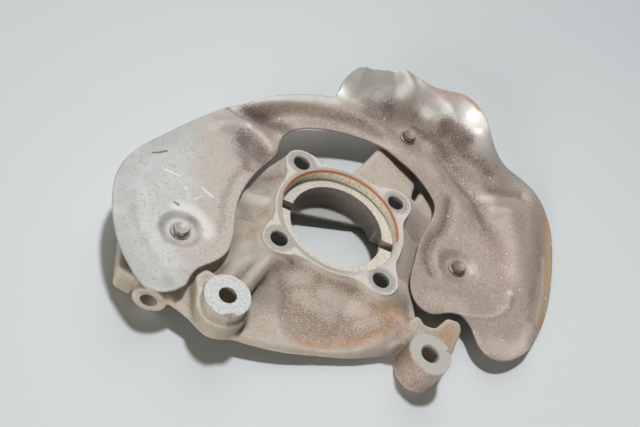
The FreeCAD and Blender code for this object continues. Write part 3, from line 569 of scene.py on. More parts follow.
# %% Forms of the casting
CASTING_OUTLINE = [
    (0.5, 44, 3), (0.5, 61, 8), (11, 84, 60), (24, 118, 30), (23, 146, 12), (61, 150, 14), (62, 112, 10),
    (57, 67, 1.5), (60, 66, 1.5), (67, 96, 8), (92, 74, 16), (112, 36, 18), (116, 0, 16), (90, -16, 16),
    (71, -30, 10), (76, -54, 8), (88, -62, 4), (94, -78, 6), (70, -77, 10), (38, -95, 110),
    (-18, -114, 160), (-66, -118, 40), (-98, -107, 16), (-120, -103, 3), (-134, -100, 4), (-143, -66, 30),
    (-139, -36, 26), (-104, -10, 60), (-76, 10, 30), (-60, 36, 16), (-44, 52, 4),
]
LEFT_BLOCK = [(-120, -103, 3), (-134, -100, 4), (-143, -66, 12), (-138, -42, 8), (-122, -46, 6),
              (-117, -80, 8)]
LEFT_LUG = [(-85, -91, 4), (-80, -82, 4), (-60, -88, 3), (-66, -110, 3), (-80, -104, 3)]
RIGHT_FIN = [(72, -86, 3), (68, -60, 6), (73, -49, 4), (79, -58, 5), (88, -57, 6), (96, -44, 4),
             (107, -43, 4), (108, -52, 4), (101, -82, 3)]
WEB_BOWL = [(-38, -62, 5), (-26, -78, 12), (-14, -102, 12), (10, -105, 20), (34, -94, 30), (62, -66, 6),
            (60, -40, 8), (0, -44, 8), (-30, -48, 4)]
FLANGE_RADIUS = 50.5
EAR_RADIUS = 12.5
EAR_PLACE = 56.0 * np.sqrt(0.5)
EAR_FILLET = 16.0
CASTING_DEPTH = 27.0
BARREL_DEPTH = 29.0
LEFT_BOSS = (-61.5, -102.5)
RIGHT_BOSS = (84.0, -85.5)
BOSS_RADIUS = 16.0
EYE_X, EYE_LEVEL = -107.5, -30.5
EYE_RADIUS = 12.0
STOCK = 3.0


def ear_distance(x, y):
    """Plan distance to the nearest of the four round bolt ears."""
    return np.hypot(np.abs(x) - EAR_PLACE, np.abs(y) - EAR_PLACE) - EAR_RADIUS


def flange_distance(x, y):
    """Plan distance to the flange: ring and ears joined by arcs of the ear fillet's radius."""
    ring = np.hypot(x, y) - FLANGE_RADIUS
    ear = ear_distance(x, y)
    nearest = np.minimum(ring, ear)
    outside = (ring > 0) & (ear > 0)
    both = np.sqrt(np.maximum(EAR_FILLET - ring, 0.0) ** 2 + np.maximum(EAR_FILLET - ear, 0.0) ** 2)
    filleted = np.maximum(EAR_FILLET - both, np.where(outside, -EAR_FILLET, nearest))
    return np.where(nearest < EAR_FILLET, filleted, nearest)


def higher(first, second, blend):
    """The higher of two levels with a rounded hollow where they cross."""
    return 0.5 * (first + second + np.hypot(first - second, blend))


def skin_height(x, y):
    """Level of the casting's outboard skin."""
    away = np.maximum(0.0, np.minimum(np.hypot(x, y) - FLANGE_RADIUS, ear_distance(x, y)))
    beside = np.maximum(smooth(-50.0, -25.0, y), smooth(50.0, 62.0, -x))
    fall = -2.4 - (0.46 + 0.28 * beside) * away
    level = -21.5 + 4.0 * smooth(5.0, 60.0, y) * smooth(-30.0, 10.0, x)
    skin = higher(fall, level, 5.0)
    neck = -5.5 - 9.0 * (run_distance(x, y, [(44, -46), RIGHT_BOSS]) / 15.0) ** 2
    hollow = 4.0 * np.exp(-((x - 66.0) / 6.5) ** 2 - ((y + 47.0) / 10.0) ** 2)
    hollow += 1.8 * smooth(3.0, -5.0, outline_distance(x, y, rounded(WEB_BOWL))) * smooth(0.0, 10.0, away)
    hollow += strokes(x, y, [([(-72, 16), (-58, 20)], 8.0, 3.5), ([(-57, -20), (-60, -32)], 7.0, 1.5)])
    hollow -= strokes(x, y, [([(-74, 2), (-58, -6)], 7.0, 2.0)])
    return higher(skin, neck, 2.0) - hollow


skin = skin_height(plan_x, plan_y)
slope = np.sqrt(1.0 + sum(part ** 2 for part in np.gradient(skin, VOXEL)))
over_skin = ((field_z - skin[:, :, None]) / slope[:, :, None]).astype(np.float32)
around = outline_distance(plan_x, plan_y, rounded(CASTING_OUTLINE)).astype(np.float32)[:, :, None]
field = common(common(around, over_skin, 4.0), -CASTING_DEPTH - field_z, 2.0)
flange = flange_distance(plan_x, plan_y).astype(np.float32)[:, :, None]
field = joined(field, common(flange, np.maximum(field_z - STOCK, -13.0 - field_z), 1.0), 3.0)
field = joined(field, upright((0, 0), FLANGE_RADIUS, -BARREL_DEPTH, -1.0), 2.0)
for centre in (LEFT_BOSS, RIGHT_BOSS):
    field = joined(field, upright(centre, BOSS_RADIUS, -CASTING_DEPTH, STOCK), 3.5)
field = joined(field, upright(LEFT_BOSS, 18.5, -CASTING_DEPTH, -9.0, 2.0), 2.0)
field = joined(field, prism(LEFT_LUG, -24.0, -8.0), 2.5)
field = joined(field, prism(RIGHT_FIN, -24.0, -6.0, 2.5), 3.0)
field = joined(field, rod((-50, -46, -15), (-68, -92, -20), 8.0), 6.0)
field = joined(field, rod((-39, -48, -8.5), (-57, -98, -13.5), 6.0), 1.5)
field = joined(field, prism(LEFT_BLOCK, -42.0, -19.0, 3.0), 3.0)
field = joined(field, upright((43, 131), 15.0, -30.0, -17.5, 2.0), 3.0)
for centre in BOLTS.values():
    field = joined(field, upright(centre, 10.0, -CASTING_DEPTH, -14.5, 0.8), 3.0)
from_eye = np.hypot(field_x - EYE_X, field_z - EYE_LEVEL)
eye = common(from_eye - EYE_RADIUS, np.maximum(-108.0 - field_y, field_y + 74.0), 1.2)
field = joined(field, eye, 3.0)
print("forms joined")

# %% [markdown]
# ## Casting: well, cores and skin texture
# The well behind the bearing seat is cast, a thin shelf closes its far side, and a pocket opens it to
# the right. The underside is hollowed by two cores behind the web. Sand and die leave a slightly uneven
# skin, here a sum of a few slow waves of a tenth of a millimetre that the light picks up.

# %% Hollows of the casting
WELL_RADIUS = 36.3
SHELF_LEVEL = -25.5
SHELF_TURN = np.radians(14.0)
CORE_RADIUS = 58.0
CORE_ROOF = -14.0
CORE_SECTORS = [(205.0, 58.0), (269.0, 38.0)]
ARC_PER_DEGREE = 0.0175
SKIN_WAVES = [(0.41, 0.23, 0.17), (-0.19, 0.47, 0.31), (0.29, -0.37, 0.43), (0.62, 0.51, -0.22)]

shelf_side = -np.sin(SHELF_TURN) * field_x + np.cos(SHELF_TURN) * field_y - 20.0
from_axis = np.hypot(field_x, field_y)
taper = 31.0 + 5.5 * np.clip((field_z - SHELF_LEVEL) / 10.5, 0.0, 1.0)
open_well = common(from_axis - WELL_RADIUS, shelf_side, 1.0)
shelf_bowl = common(from_axis - taper, SHELF_LEVEL - field_z, 1.5)
well = joined(open_well, shelf_bowl, 0.5)
field = common(field, -well, 1.0)
pocket = common(common(from_axis - 46.0, field_z + 15.0, 2.0), np.abs(field_y + 3.0) - 20.0, 2.0)
field = common(field, -np.maximum(pocket, -field_x), 1.0)
bearing = np.degrees(np.arctan2(field_y, field_x))
for first, turn in CORE_SECTORS:
    offset = (bearing - first) % 360.0
    sides = np.where(offset < turn, -np.minimum(offset, turn - offset),
                     np.minimum(offset - turn, 360.0 - offset))
    roof = (from_axis - CORE_RADIUS) * 0.49 + (field_z - CORE_ROOF) * 0.87
    core = common(np.maximum(CORE_RADIUS - from_axis, roof), sides * from_axis * ARC_PER_DEGREE, 3.0)
    field = common(field, -core, 3.0)
waves = 0.0
for push, (across, along, upwards) in enumerate(SKIN_WAVES):
    waves = waves + np.sin(across * field_x + along * field_y + upwards * field_z + 1.7 * push)
field = (field + 0.04 * waves).astype(np.float32)
print("field ready, %.1f million samples" % (field.size / 1e6))

# %% [markdown]
# ## Casting: mesh from the field
# Surface nets turn the field into quads: every grid cell that the surface crosses gets one point at
# the middle of the crossings on its edges, and every grid edge that it crosses gets the quad of the
# four cells round it. One step along the field's own slope then moves each point onto the surface.

# %% Surface nets
def sampled(values, points):
    """Field values between the samples, by shares of the eight corners of each cell."""
    place = (points - FIELD_LOW) / VOXEL
    base = np.clip(np.floor(place).astype(int), 0, np.array(values.shape) - 2)
    share = place - base
    total = np.zeros(len(points))
    for corner in range(8):
        bits = np.array([corner & 1, corner >> 1 & 1, corner >> 2 & 1])
        weight = np.prod(np.where(bits, share, 1.0 - share), axis=1)
        index = base + bits
        total += weight * values[index[:, 0], index[:, 1], index[:, 2]]
    return total


def surface_nets(values):
    """Points and outward quads where the sampled field passes through nothing."""
    inside = values < 0
    cells = np.zeros(np.array(values.shape) - 1, dtype=np.int8)
    for corner in range(8):
        part = tuple(slice(corner >> axis & 1, (corner >> axis & 1) - 1 or None) for axis in range(3))
        cells += inside[part]
    mixed = (cells > 0) & (cells < 8)
    base = np.stack(np.nonzero(mixed), axis=1)
    numbers = np.full(mixed.shape, -1)
    numbers[mixed] = np.arange(len(base))
    total = np.zeros((len(base), 3))
    count = np.zeros(len(base))
    quads = []
    for axis in range(3):
        unit = np.eye(3, dtype=int)[axis]
        others = [np.eye(3, dtype=int)[place] for place in range(3) if place != axis]
        for shift in (0 * unit, others[0], others[1], others[0] + others[1]):
            start, end = base + shift, base + shift + unit
            low, high = values[tuple(start.T)], values[tuple(end.T)]
            crossed = (low < 0) != (high < 0)
            share = np.where(crossed, low / np.where(crossed, low - high, 1.0), 0.0)
            total += crossed[:, None] * (start + share[:, None] * unit)
            count += crossed
        first = tuple(slice(None, -1) if place == axis else slice(1, -1) for place in range(3))
        last = tuple(slice(1, None) if place == axis else slice(1, -1) for place in range(3))
        crossed = np.stack(np.nonzero(inside[first] != inside[last]), axis=1)
        crossed += 1 - unit
        leaving = inside[tuple(crossed.T)]
        following = (np.eye(3, dtype=int)[(axis + 1) % 3], np.eye(3, dtype=int)[(axis + 2) % 3])
        ring = [crossed - following[0] - following[1], crossed - following[1], crossed,
                crossed - following[0]]
        quad = np.stack([numbers[tuple(cell.T)] for cell in ring], axis=1)
        quads.append(np.where(leaving[:, None], quad, quad[:, ::-1]))
    return FIELD_LOW + VOXEL * total / count[:, None], np.vstack(quads)


cast_points, cast_quads = surface_nets(field)
for repeat in range(2):
    step = 0.25 * VOXEL
    slopes = np.stack([sampled(field, cast_points + step * unit) - sampled(field, cast_points - step * unit)
                       for unit in np.eye(3)], axis=1) / (2.0 * step)
    level = sampled(field, cast_points)
    cast_points -= 0.8 * (level / np.maximum((slopes ** 2).sum(axis=1), 0.3))[:, None] * slopes
knuckle = put_mesh("knuckle_casting", cast_points, [cast_quads])
print("casting: %d quads" % len(cast_quads))

# %% [markdown]
# ## Casting: machining
# The real one is machined after casting, and so is this one: a flat cutter takes all raised faces down
# to one plane, a stepped cutter bores the bearing seat, and drills make the holes. Each cutter is a
# closed surface, and a boolean takes it away, which leaves crisp true edges on a soft casting.

# %% Cutters
def revolved(profile, count=96, centre=(0.0, 0.0), flats=None):
    """Closed surface of revolution from (radius, level) rows that start and end on the axis. Flats gives
    each row half the width of a hexagon that it is held inside: radius <= flats / cos(turn off a flat)."""
    rings = np.array(profile[1:-1], dtype=float)
    angles = 2.0 * np.pi * np.arange(count) / count
    radii = np.repeat(rings[:, :1], count, axis=1)
    if flats is not None:
        off_flat = (angles + np.pi / 3.0) % (np.pi / 3.0) - np.pi / 6.0
        radii = np.minimum(radii, np.array(flats)[:, None] / np.cos(off_flat))
    walls = np.stack([radii * np.cos(angles) + centre[0], radii * np.sin(angles) + centre[1],
                      np.repeat(rings[:, 1:], count, axis=1)], axis=2).reshape(-1, 3)
    poles = np.array([[*centre, profile[0][1]], [*centre, profile[-1][1]]])
    here = np.arange(count)
    ahead = (here + 1) % count
    rows = count * np.arange(len(rings) - 1)[:, None]
    quads = np.stack([rows + here, rows + ahead, rows + ahead + count, rows + here + count], axis=2)
    bottom, top = len(walls), len(walls) + 1
    last = count * (len(rings) - 1)
    fans = np.vstack([np.stack([np.full(count, bottom), ahead, here], axis=1),
                      np.stack([np.full(count, top), last + here, last + ahead], axis=1)])
    return np.vstack([walls, poles]), [quads.reshape(-1, 4), fans]


def several(parts):
    """One set of points and faces from separate closed parts."""
    points, groups, start = [], [], 0
    for part_points, part_groups in parts:
        points.append(part_points)
        groups += [group + start for group in part_groups]
        start += len(part_points)
    return np.vstack(points), groups


def box(low, high):
    """Closed box between two corners."""
    points = np.array([[(low, high)[corner >> axis & 1][axis] for axis in range(3)] for corner in range(8)])
    quads = np.array([[0, 2, 3, 1], [4, 5, 7, 6], [0, 1, 5, 4], [2, 6, 7, 3], [0, 4, 6, 2], [1, 3, 7, 5]])
    return points, [quads]


def machine(piece, cutter_parts):
    """Take closed cutters away from a piece and keep the result as its mesh."""
    cutter = put_mesh("cutter", *several(cutter_parts))
    tool = piece.modifiers.new("machining", "BOOLEAN")
    tool.operation = "DIFFERENCE"
    tool.solver = "MANIFOLD"
    tool.object = cutter
    bpy.context.view_layer.update()
    result = bpy.data.meshes.new_from_object(piece.evaluated_get(bpy.context.evaluated_depsgraph_get()))
    piece.modifiers.clear()
    piece.data = result
    bpy.data.objects.remove(cutter)


def drill(centre, radius, low, high):
    """Round cutter along the bore direction."""
    return revolved([(0, low), (radius, low), (radius, high), (0, high)], 64, centre)


def tap(centre, radius, chamfer, pitch=1.75, depth=0.35):
    """Cutter for a threaded hole: a stack of small ridges and a chamfer at its mouth."""
    levels = np.arange(-32.0, -chamfer - pitch, pitch).tolist()
    threads = [row for level in levels for row in ((radius - depth, level), (radius, level + 0.5 * pitch))]
    return revolved([(0, -40), (radius, -40), *threads, (radius, -chamfer), (radius + chamfer, 0),
                     (radius + chamfer, 6), (0, 6)], 64, centre)


SEAT = [(0, -14), (36.5, -14), (36.5, -8.3), (36.8, -8), (45.0, -8), (45.3, -7.7), (45.3, -1.2), (51.0, 4.5),
        (0, 4.5)]
CHIPS = [((-53.0, -119.5), 5.5, 3.0), ((-57.0, -119.8), 3.5, 2.0), ((76.0, -100.6), 3.6, 2.0),
         ((72.5, -99.0), 4.2, 3.0), ((79.5, -102.8), 3.0, 1.5), ((96.8, -78.2), 1.4, 0.6),
         ((68.0, -91.0), 2.6, 1.4), ((67.2, -85.0), 1.8, 1.0)]
EAR_HOLE = 6.5
CALIPER_HOLE = 6.25
EYE_HOLE = 6.1

machine(knuckle, [box((-160, -140, 0), (140, 170, 12))])
holes = [revolved(SEAT, 160)]
for across in (-1, 1):
    for along in (-1, 1):
        holes.append(tap((across * EAR_PLACE, along * EAR_PLACE), EAR_HOLE, 0.9))
holes += [tap(RIGHT_BOSS, CALIPER_HOLE, 1.0), drill(LEFT_BOSS, CALIPER_HOLE, -40, 6)]
for centre, radius, depth in CHIPS:
    cone = [(0, -depth), (0.6 * radius, -depth), (radius, 0), (radius, 6), (0, 6)]
    machine(knuckle, [revolved(cone, 24, centre)])
eye_points, eye_faces = drill((0, 0), EYE_HOLE, -112, -66)
eye_points = np.stack([eye_points[:, 0] + EYE_X, eye_points[:, 2], EYE_LEVEL - eye_points[:, 1]], axis=1)
holes.append((eye_points, eye_faces))
machine(knuckle, holes)
machine(knuckle, [box((-48, -4, -14), (48, 4, -6.5))])
print("machined: %d faces" % len(knuckle.data.polygons))

# %% [markdown]
# ## Casting: where dirt and wear lie
# The hollows of a casting are darkened, partly for dirt and partly as painted shade, and its edges are
# rubbed pale. Both come from the form itself: the distance field less a softened copy of it is above
# nothing in a hollow and below it on an edge. The rest, such as the orange stain at the foot of the web
# and the salt on it, are strokes as on the sheet. Among them are painted highlights on the left wing, on
# the rib and along the top edge of the left boss's collar, and painted shade in darker bands on the wing,
# beside the rib, on the left block and by the left boss.

# %% Dirt and wear on the casting
count = len(knuckle.data.vertices)
cast_places = np.empty(count * 3, dtype=np.float32)
knuckle.data.vertices.foreach_get("co", cast_places)
cast_places = cast_places.reshape(-1, 3) / MM
x, y, z = cast_places.T
softened = field.copy()
for repeat in range(3):
    for axis in range(3):
        softened = (np.roll(softened, 1, axis) + softened + np.roll(softened, -1, axis)) / 3.0
hollow = sampled(field - softened, cast_places)
in_bowl = smooth(1.0, -9.0, outline_distance(x, y, rounded(WEB_BOWL))) * smooth(-4.5, -8.0, z)
beside_flange = np.maximum(0.0, flange_distance(x, y))
low_face = smooth(-26.0, -30.0, z) * smooth(-104.0, -107.0, y) * smooth(-92.0, -96.0, x)
# Painted highlight along the top edge of the left boss's collar.
collar_highlight = strokes(x, y, [(arc(LEFT_BOSS, 17.6, 170.0, 290.0), 1.3, 1.0)]) * smooth(-12.5, -11.0, z)
cast_values = {
    # Darker in the hollows: partly dirt and partly painted shade.
    "hollow_dirt_and_shade": np.clip(hollow * 2.5, 0.0, 1.0),
    "worn": np.clip(-hollow * 2.5, 0.0, 1.0),
    "mauve": np.maximum(in_bowl, strokes(x, y, [
        ([(68, -70), (66, -90), (72, -100), (84, -104)], 9.0, 1.0), ([(60, -56), (66, -70)], 9.0, 0.6),
        ([(64, -47)], 8.0, 0.5), ([(-20, -52), (0, -58), (24, -56)], 8.0, 0.8),
    ])),
    "orange": strokes(x, y, [
        ([(42, -66), (54, -58)], 10.0, 0.8), ([(-2, -101), (18, -97), (36, -86), (52, -72)], 7.0, 0.75),
        ([(98, -58), (100, -70)], 12.0, 1.0), ([(-42, -47), (-36, -52)], 7.0, 0.6),
        ([(60, -60), (62, -66)], 7.0, 0.8), ([(-52, -36), (-50, -44)], 8.0, 0.5),
        ([(-47, 46), (-44, 50)], 4.0, 0.6),
    ]),
    "red": strokes(x, y, [([(56, -66), (64, -72), (69, -86)], 6.0, 0.9),
                          ([(72, -98), (78, -104)], 7.0, 1.0)]),
    "grey": strokes(x, y, [([(24, -99), (41, -93), (54, -86), (66, -76)], 5.5, 1.0)]),
    "spots": np.maximum(0.3 * in_bowl, strokes(x, y, [
        ([(-24, -61), (-12, -58)], 8.0, 0.8), ([(4, -64), (32, -65)], 9.0, 1.0),
        ([(-12, -70), (12, -74)], 8.0, 0.8), ([(48, 8), (54, -10), (57, -36), (62, -24)], 8.0, 0.9),
        ([(-28, -92), (-14, -99)], 8.0, 0.5), ([(34, -74), (44, -68)], 7.0, 0.8),
        ([(68, -100), (84, -106)], 8.0, 0.6), ([(46, 46), (54, 26)], 7.0, 0.6),
        ([(70, -64), (78, -72)], 6.0, 0.7), ([(-46, 34), (-52, 4)], 5.0, 0.4),
    ])),
    "lip": smooth(5.0, 0.5, beside_flange) * smooth(-9.0, -3.0, z),
    # Mostly painted highlights on the left wing, the rib and the collar's edge, with a paler strip on the low
    # front face.
    "pale": np.maximum(np.maximum(low_face, collar_highlight), strokes(x, y, [
        ([(-76, 0), (-58, -7)], 5.0, 1.0), ([(-60, -50), (-64, -64)], 6.0, 0.7), ([(-52, -24)], 5.0, 0.6),
        ([(-57, -62)], 6.0, 0.5), ([(-46, -52), (-52, -74)], 3.0, 0.5),
    ])),
    # Painted shade: darker bands on the left wing, beside the rib, on the left block and by the left boss.
    "painted_shade": strokes(x, y, [
        ([(-64, 14), (-56, 22)], 9.0, 0.7), ([(-66, -20), (-72, -40)], 8.0, 0.6),
        ([(-33, -56), (-44, -84)], 3.0, 1.0), ([(-122, -60), (-116, -90)], 16.0, 0.8),
        ([(-47, -98), (-44, -106)], 5.0, 0.6),
    ]),
    "mark": strokes(x, y, [(arc((-63.0, 5.0), 5.5, 120.0, 400.0), 0.7, 0.8)]),
    "arm": smooth(46.0, 62.0, y),
    "flecks": 0.1 + 0.16 * smooth(64.0, 46.0, y),
}
for label, numbers in cast_values.items():
    store = knuckle.data.attributes.new(label, "FLOAT", "POINT")
    store.data.foreach_set("value", numbers.astype(np.float32))
knuckle.data.set_sharp_from_angle(angle=np.radians(38.0))
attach(knuckle, "root")
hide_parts("steering_knuckle")
print("casting: %d masks on %d points" % (len(cast_values), count))

# %% [markdown]
# ## Shield bolts
# Each bolt is a hexagon head on a thin round flange. The head is cut from a cone at its top, which
# leaves the arcs that a real hexagon shows at its corners, and its top is slightly dished.

# %% Flange bolts
BOLT_ROWS = [(0, -12.0), (2.2, -12.0), (3.0, -11.2), (3.0, 0.0), (6.9, 0.0), (7.25, 0.3), (7.25, 0.7),
             (6.0, 1.3), (5.9, 1.4), (5.9, 4.1), (5.0, 5.0), (4.1, 5.0), (3.2, 4.6), (0, 4.5)]
BOLT_FLATS = [9.0] * 7 + [5.0] * 5
BOLT_DIRT = {"left": 0.25, "upper": 1.0, "right": 0.8}
bolt_pieces = {}
for side, place in BOLTS.items():
    bolt_points, bolt_faces = revolved(BOLT_ROWS, 96, place, BOLT_FLATS)
    bolt_points[:, 2] += SHEET_LEVEL - DISH_DEPTH
    dirt = np.full(len(bolt_points), BOLT_DIRT[side])
    bolt_pieces[side] = put_mesh(side + "_bolt_head", bolt_points, bolt_faces, {"dirt": dirt})
    bolt_pieces[side].data.set_sharp_from_angle(angle=np.radians(30.0))
    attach(bolt_pieces[side], "root")
    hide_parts(side + "_shield_bolt")
print("bolts:", sorted(bolt_pieces))

# %% [markdown]
# ## Finish: pressed aluminium sheet
# Bare rolled aluminium turns dull grey outdoors, and brake dust bakes onto it as a brown film. The
# film comes off where stones and fingers rub, so the left lobe is pale and the rest is brown with
# fine white specks of salt. Each point of the mesh carries how much of each layer it has, and noise at
# the scale of the real grains breaks the layers' borders up. A smooth mask alone would look airbrushed.

# %% Layers that a grain breaks up
# Each grain's size in mm, detail and roughness: specks of salt, cast sand, stains and slow weathering.
GRAINS = {"grain": (0.8, 2.0, 0.75), "sand": (1.8, 3.0, 0.7), "blotch": (7.0, 5.0, 0.65),
          "cloud": (24.0, 4.0, 0.55)}


def new_finish(name, labels):
    """A material with its tree and shader, its place in mm, the mesh's stored masks and the grains."""
    finish = bpy.data.materials.new(name)
    finish.use_nodes = True
    tree = finish.node_tree
    metres = add(tree, "ShaderNodeTexCoord").outputs["Object"]
    place = add(tree, "ShaderNodeVectorMath", {0: metres, "Scale": 1.0 / MM}, operation="SCALE").outputs[0]
    masks = {label: add(tree, "ShaderNodeAttribute", attribute_name=label).outputs["Fac"] for label in labels}
    for label, (size, detail, rough) in GRAINS.items():
        noise = {"Vector": place, "Scale": 1.0 / size, "Detail": detail, "Roughness": rough}
        masks[label] = add(tree, "ShaderNodeTexNoise", noise).outputs[0]
    return finish, tree, tree.nodes["Principled BSDF"], place, masks


def laid(tree, below, code, mask, grain, spread, soft=0.25, most=1.0):
    """A colour laid over another by up to a share, half of it where mask + spread * (grain - 0.5) is 0.5."""
    push = {0: grain, 1: spread, 2: -0.5 * spread}
    pushed = add(tree, "ShaderNodeMath", push, operation="MULTIPLY_ADD").outputs[0]
    pushed = add(tree, "ShaderNodeMath", {0: pushed, 1: mask}, operation="ADD").outputs[0]
    limits = {"Value": pushed, "From Min": 0.5 - soft, "From Max": 0.5 + soft, "To Min": 0.0, "To Max": most}
    share = add(tree, "ShaderNodeMapRange", limits, interpolation_type="SMOOTHSTEP").outputs[0]
    return add(tree, "ShaderNodeMix", {0: share, 6: below, 7: paint(code)}, data_type="RGBA").outputs[2]


def layered(tree, colour, masks, rows):
    """Colours laid over each other in turn. A row is a colour, the name or number of its mask, the name
    of its grain and that grain's spread, then how soft its border is and how much of it shows."""
    for code, mask, grain, *numbers in rows:
        colour = laid(tree, colour, code, masks.get(mask, mask), masks[grain], *numbers)
    return colour


def salt(tree, below, code, place, dust, apart):
    """White salt dots, about one in each cell that wide in mm, in as many cells as the dust share says."""
    cells = add(tree, "ShaderNodeTexVoronoi", {"Vector": place, "Scale": 1.0 / apart})
    own = add(tree, "ShaderNodeSeparateColor", {0: cells.outputs["Color"]}).outputs
    chosen = add(tree, "ShaderNodeMath", {0: own[0], 1: dust}, operation="LESS_THAN").outputs[0]
    radius = add(tree, "ShaderNodeMath", {0: own[1], 1: 0.12, 2: 0.05}, operation="MULTIPLY_ADD").outputs[0]
    depth = {0: radius, 1: cells.outputs["Distance"]}
    inside = add(tree, "ShaderNodeMath", depth, operation="SUBTRACT").outputs[0]
    dot = add(tree, "ShaderNodeMapRange", {"Value": inside, "From Min": -0.06, "From Max": 0.08}).outputs[0]
    share = add(tree, "ShaderNodeMath", {0: dot, 1: chosen}, operation="MULTIPLY").outputs[0]
    return add(tree, "ShaderNodeMix", {0: share, 6: below, 7: paint(code)}, data_type="RGBA").outputs[2]


def finished(tree, shader, colour, metallic, roughness, rise, depth):
    """Wire a finish up: its colour, how metallic and rough it is, and its relief with its depth in mm."""
    tree.links.new(colour, shader.inputs["Base Color"])
    for label, value in (("Metallic", metallic), ("Roughness", roughness)):
        if isinstance(value, float):
            shader.inputs[label].default_value = value
        else:
            tree.links.new(value, shader.inputs[label])
    bump = add(tree, "ShaderNodeBump", {"Height": rise, "Strength": 1.0, "Distance": depth * MM})
    tree.links.new(bump.outputs["Normal"], shader.inputs["Normal"])


# %% Material of the sheet
sheet_finish, tree, shader, place, mask = new_finish("weathered rolled aluminium sheet", sheet_values)
share = {0: mask["brown"], 1: 0.7, 2: -0.4}
mask["grime"] = add(tree, "ShaderNodeMath", share, operation="MULTIPLY_ADD").outputs[0]
share = {0: mask["brown"], 1: 0.75}
mask["film"] = add(tree, "ShaderNodeMath", share, operation="MULTIPLY").outputs[0]
colour = layered(tree, paint("#C7C9C7"), mask, [
    ("#BBBBB8", "blotch", "cloud", 1.6, 0.4), ("#ACAFAD", "cool", "cloud", 0.8, 0.5, 0.8),
    ("#BFB5AB", "beige", "cloud", 1.0, 0.5, 0.9), ("#B0A497", "beige", "blotch", 2.6, 0.5, 0.35),
    ("#C4AEA2", "pink", "blotch", 0.8, 0.4, 0.8), ("#93857A", "strip", "sand", 3.0, 0.4, 0.65),
    ("#AC9D92", "brown", "blotch", 0.9, 0.35), ("#998A7F", "film", "blotch", 1.8, 0.5, 0.5),
    ("#AE9482", "film", "cloud", 2.4, 0.5, 0.4), ("#85766B", "grime", "sand", 3.6, 0.3, 0.45),
    ("#98796B", "red", "sand", 1.2, 0.4, 0.7), ("#BFBEB9", "grey", "cloud", 0.6, 0.5, 0.95),
    # DEDAD3 is partly rubbed metal and partly painted highlights and reflections.
    ("#AF8D6D", "tan", "blotch", 1.0, 0.4, 0.9), ("#DEDAD3", "pale", "cloud", 0.6, 0.5, 0.85),
    # F6F3EC is a painted highlight.
    ("#63544A", "dark", "sand", 1.8, 0.5, 0.9), ("#F6F3EC", "painted_highlight", "cloud", 0.4, 0.5, 0.85),
    ("#CBBDB1", "dust", "grain", 3.2, 0.3, 0.6),
])
colour = salt(tree, colour, "#E6DFD6", place, mask["dust"], 2.2)
colour = salt(tree, colour, "#EAE4DC", place, mask["dust"], 4.4)
colour = layered(tree, colour, mask, [
    ("#5A5148", "scratch", "grain", 0.5, 0.3), ("#E9E6DE", "scuff", "grain", 1.6, 0.3, 0.9),
    ("#A98A5C", "chip", "grain", 0.8, 0.3, 0.9),
])
bare = add(tree, "ShaderNodeMapRange", {"Value": mask["grey"], "To Min": 0.1, "To Max": 0.38}).outputs[0]
rough = add(tree, "ShaderNodeMapRange", {"Value": mask["grey"], "To Min": 0.56, "To Max": 0.5}).outputs[0]
relief = {0: mask["sand"], 1: 0.3, 2: mask["blotch"]}
rise = add(tree, "ShaderNodeMath", relief, operation="MULTIPLY_ADD").outputs[0]
finished(tree, shader, colour, bare, rough, rise, 0.25)
shield.data.materials.append(sheet_finish)
print("finish of the sheet: %d nodes" % len(tree.nodes))

# %% [markdown]
# ## Finish: cast and machined aluminium
# Sand or die casting leaves a matt skin with a grain of about a millimetre. Years on the road stain it
# beige, brown in the hollows and orange where water ran, and white salts bloom in dense specks; the
# brown in the hollows is partly painted shade, and some darker bands and pale patches are painted shade
# and painted highlights. The machined faces are flat grey metal with a pale corroded border, and a line
# of rust sits where the steel bearing pressed against the mouth of the bore. The chamfers of the ear holes
# carry a painted glint, and the seat's wall is painted lighter and the well's wall darker, as painted
# light and painted shade. Flat faces have few points, so their masks come from the place itself: how far
# from the bore, from an ear and from the faced plane.

# %% Material of the casting
def within(tree, value, low, high, soft=0.2, also=1.0):
    """Another share, kept where a value lies between two limits and faded over a soft border."""
    rising = {"Value": value, "From Min": low - soft, "From Max": low}
    falling = {"Value": value, "From Min": high + soft, "From Max": high}
    ends = [add(tree, "ShaderNodeMapRange", limits).outputs[0] for limits in (rising, falling)]
    share = add(tree, "ShaderNodeMath", {0: ends[0], 1: ends[1]}, operation="MULTIPLY").outputs[0]
    return add(tree, "ShaderNodeMath", {0: share, 1: also}, operation="MULTIPLY").outputs[0]


cast_finish, tree, shader, place, mask = new_finish("weathered cast aluminium", cast_values)
parts = add(tree, "ShaderNodeSeparateXYZ", {0: place})
across, along, level = (parts.outputs[axis] for axis in "XYZ")
plan = add(tree, "ShaderNodeVectorMath", {0: place, 1: (1.0, 1.0, 0.0)}, operation="MULTIPLY").outputs[0]
from_bore = add(tree, "ShaderNodeVectorMath", {0: plan}, operation="LENGTH").outputs["Value"]
folded = add(tree, "ShaderNodeVectorMath", {0: plan}, operation="ABSOLUTE").outputs[0]
from_ear = add(tree, "ShaderNodeVectorMath", {0: folded, 1: (EAR_PLACE, EAR_PLACE, 0.0)},
               operation="DISTANCE").outputs["Value"]
ring_edge = add(tree, "ShaderNodeMath", {0: from_bore, 1: FLANGE_RADIUS}, operation="SUBTRACT").outputs[0]
ear_edge = add(tree, "ShaderNodeMath", {0: from_ear, 1: EAR_RADIUS}, operation="SUBTRACT").outputs[0]
edges = {0: ring_edge, 1: ear_edge, 2: 4.0}
flange_edge = add(tree, "ShaderNodeMath", edges, operation="SMOOTH_MIN").outputs[0]
faced = within(tree, level, -0.1, 9.0, 0.15)

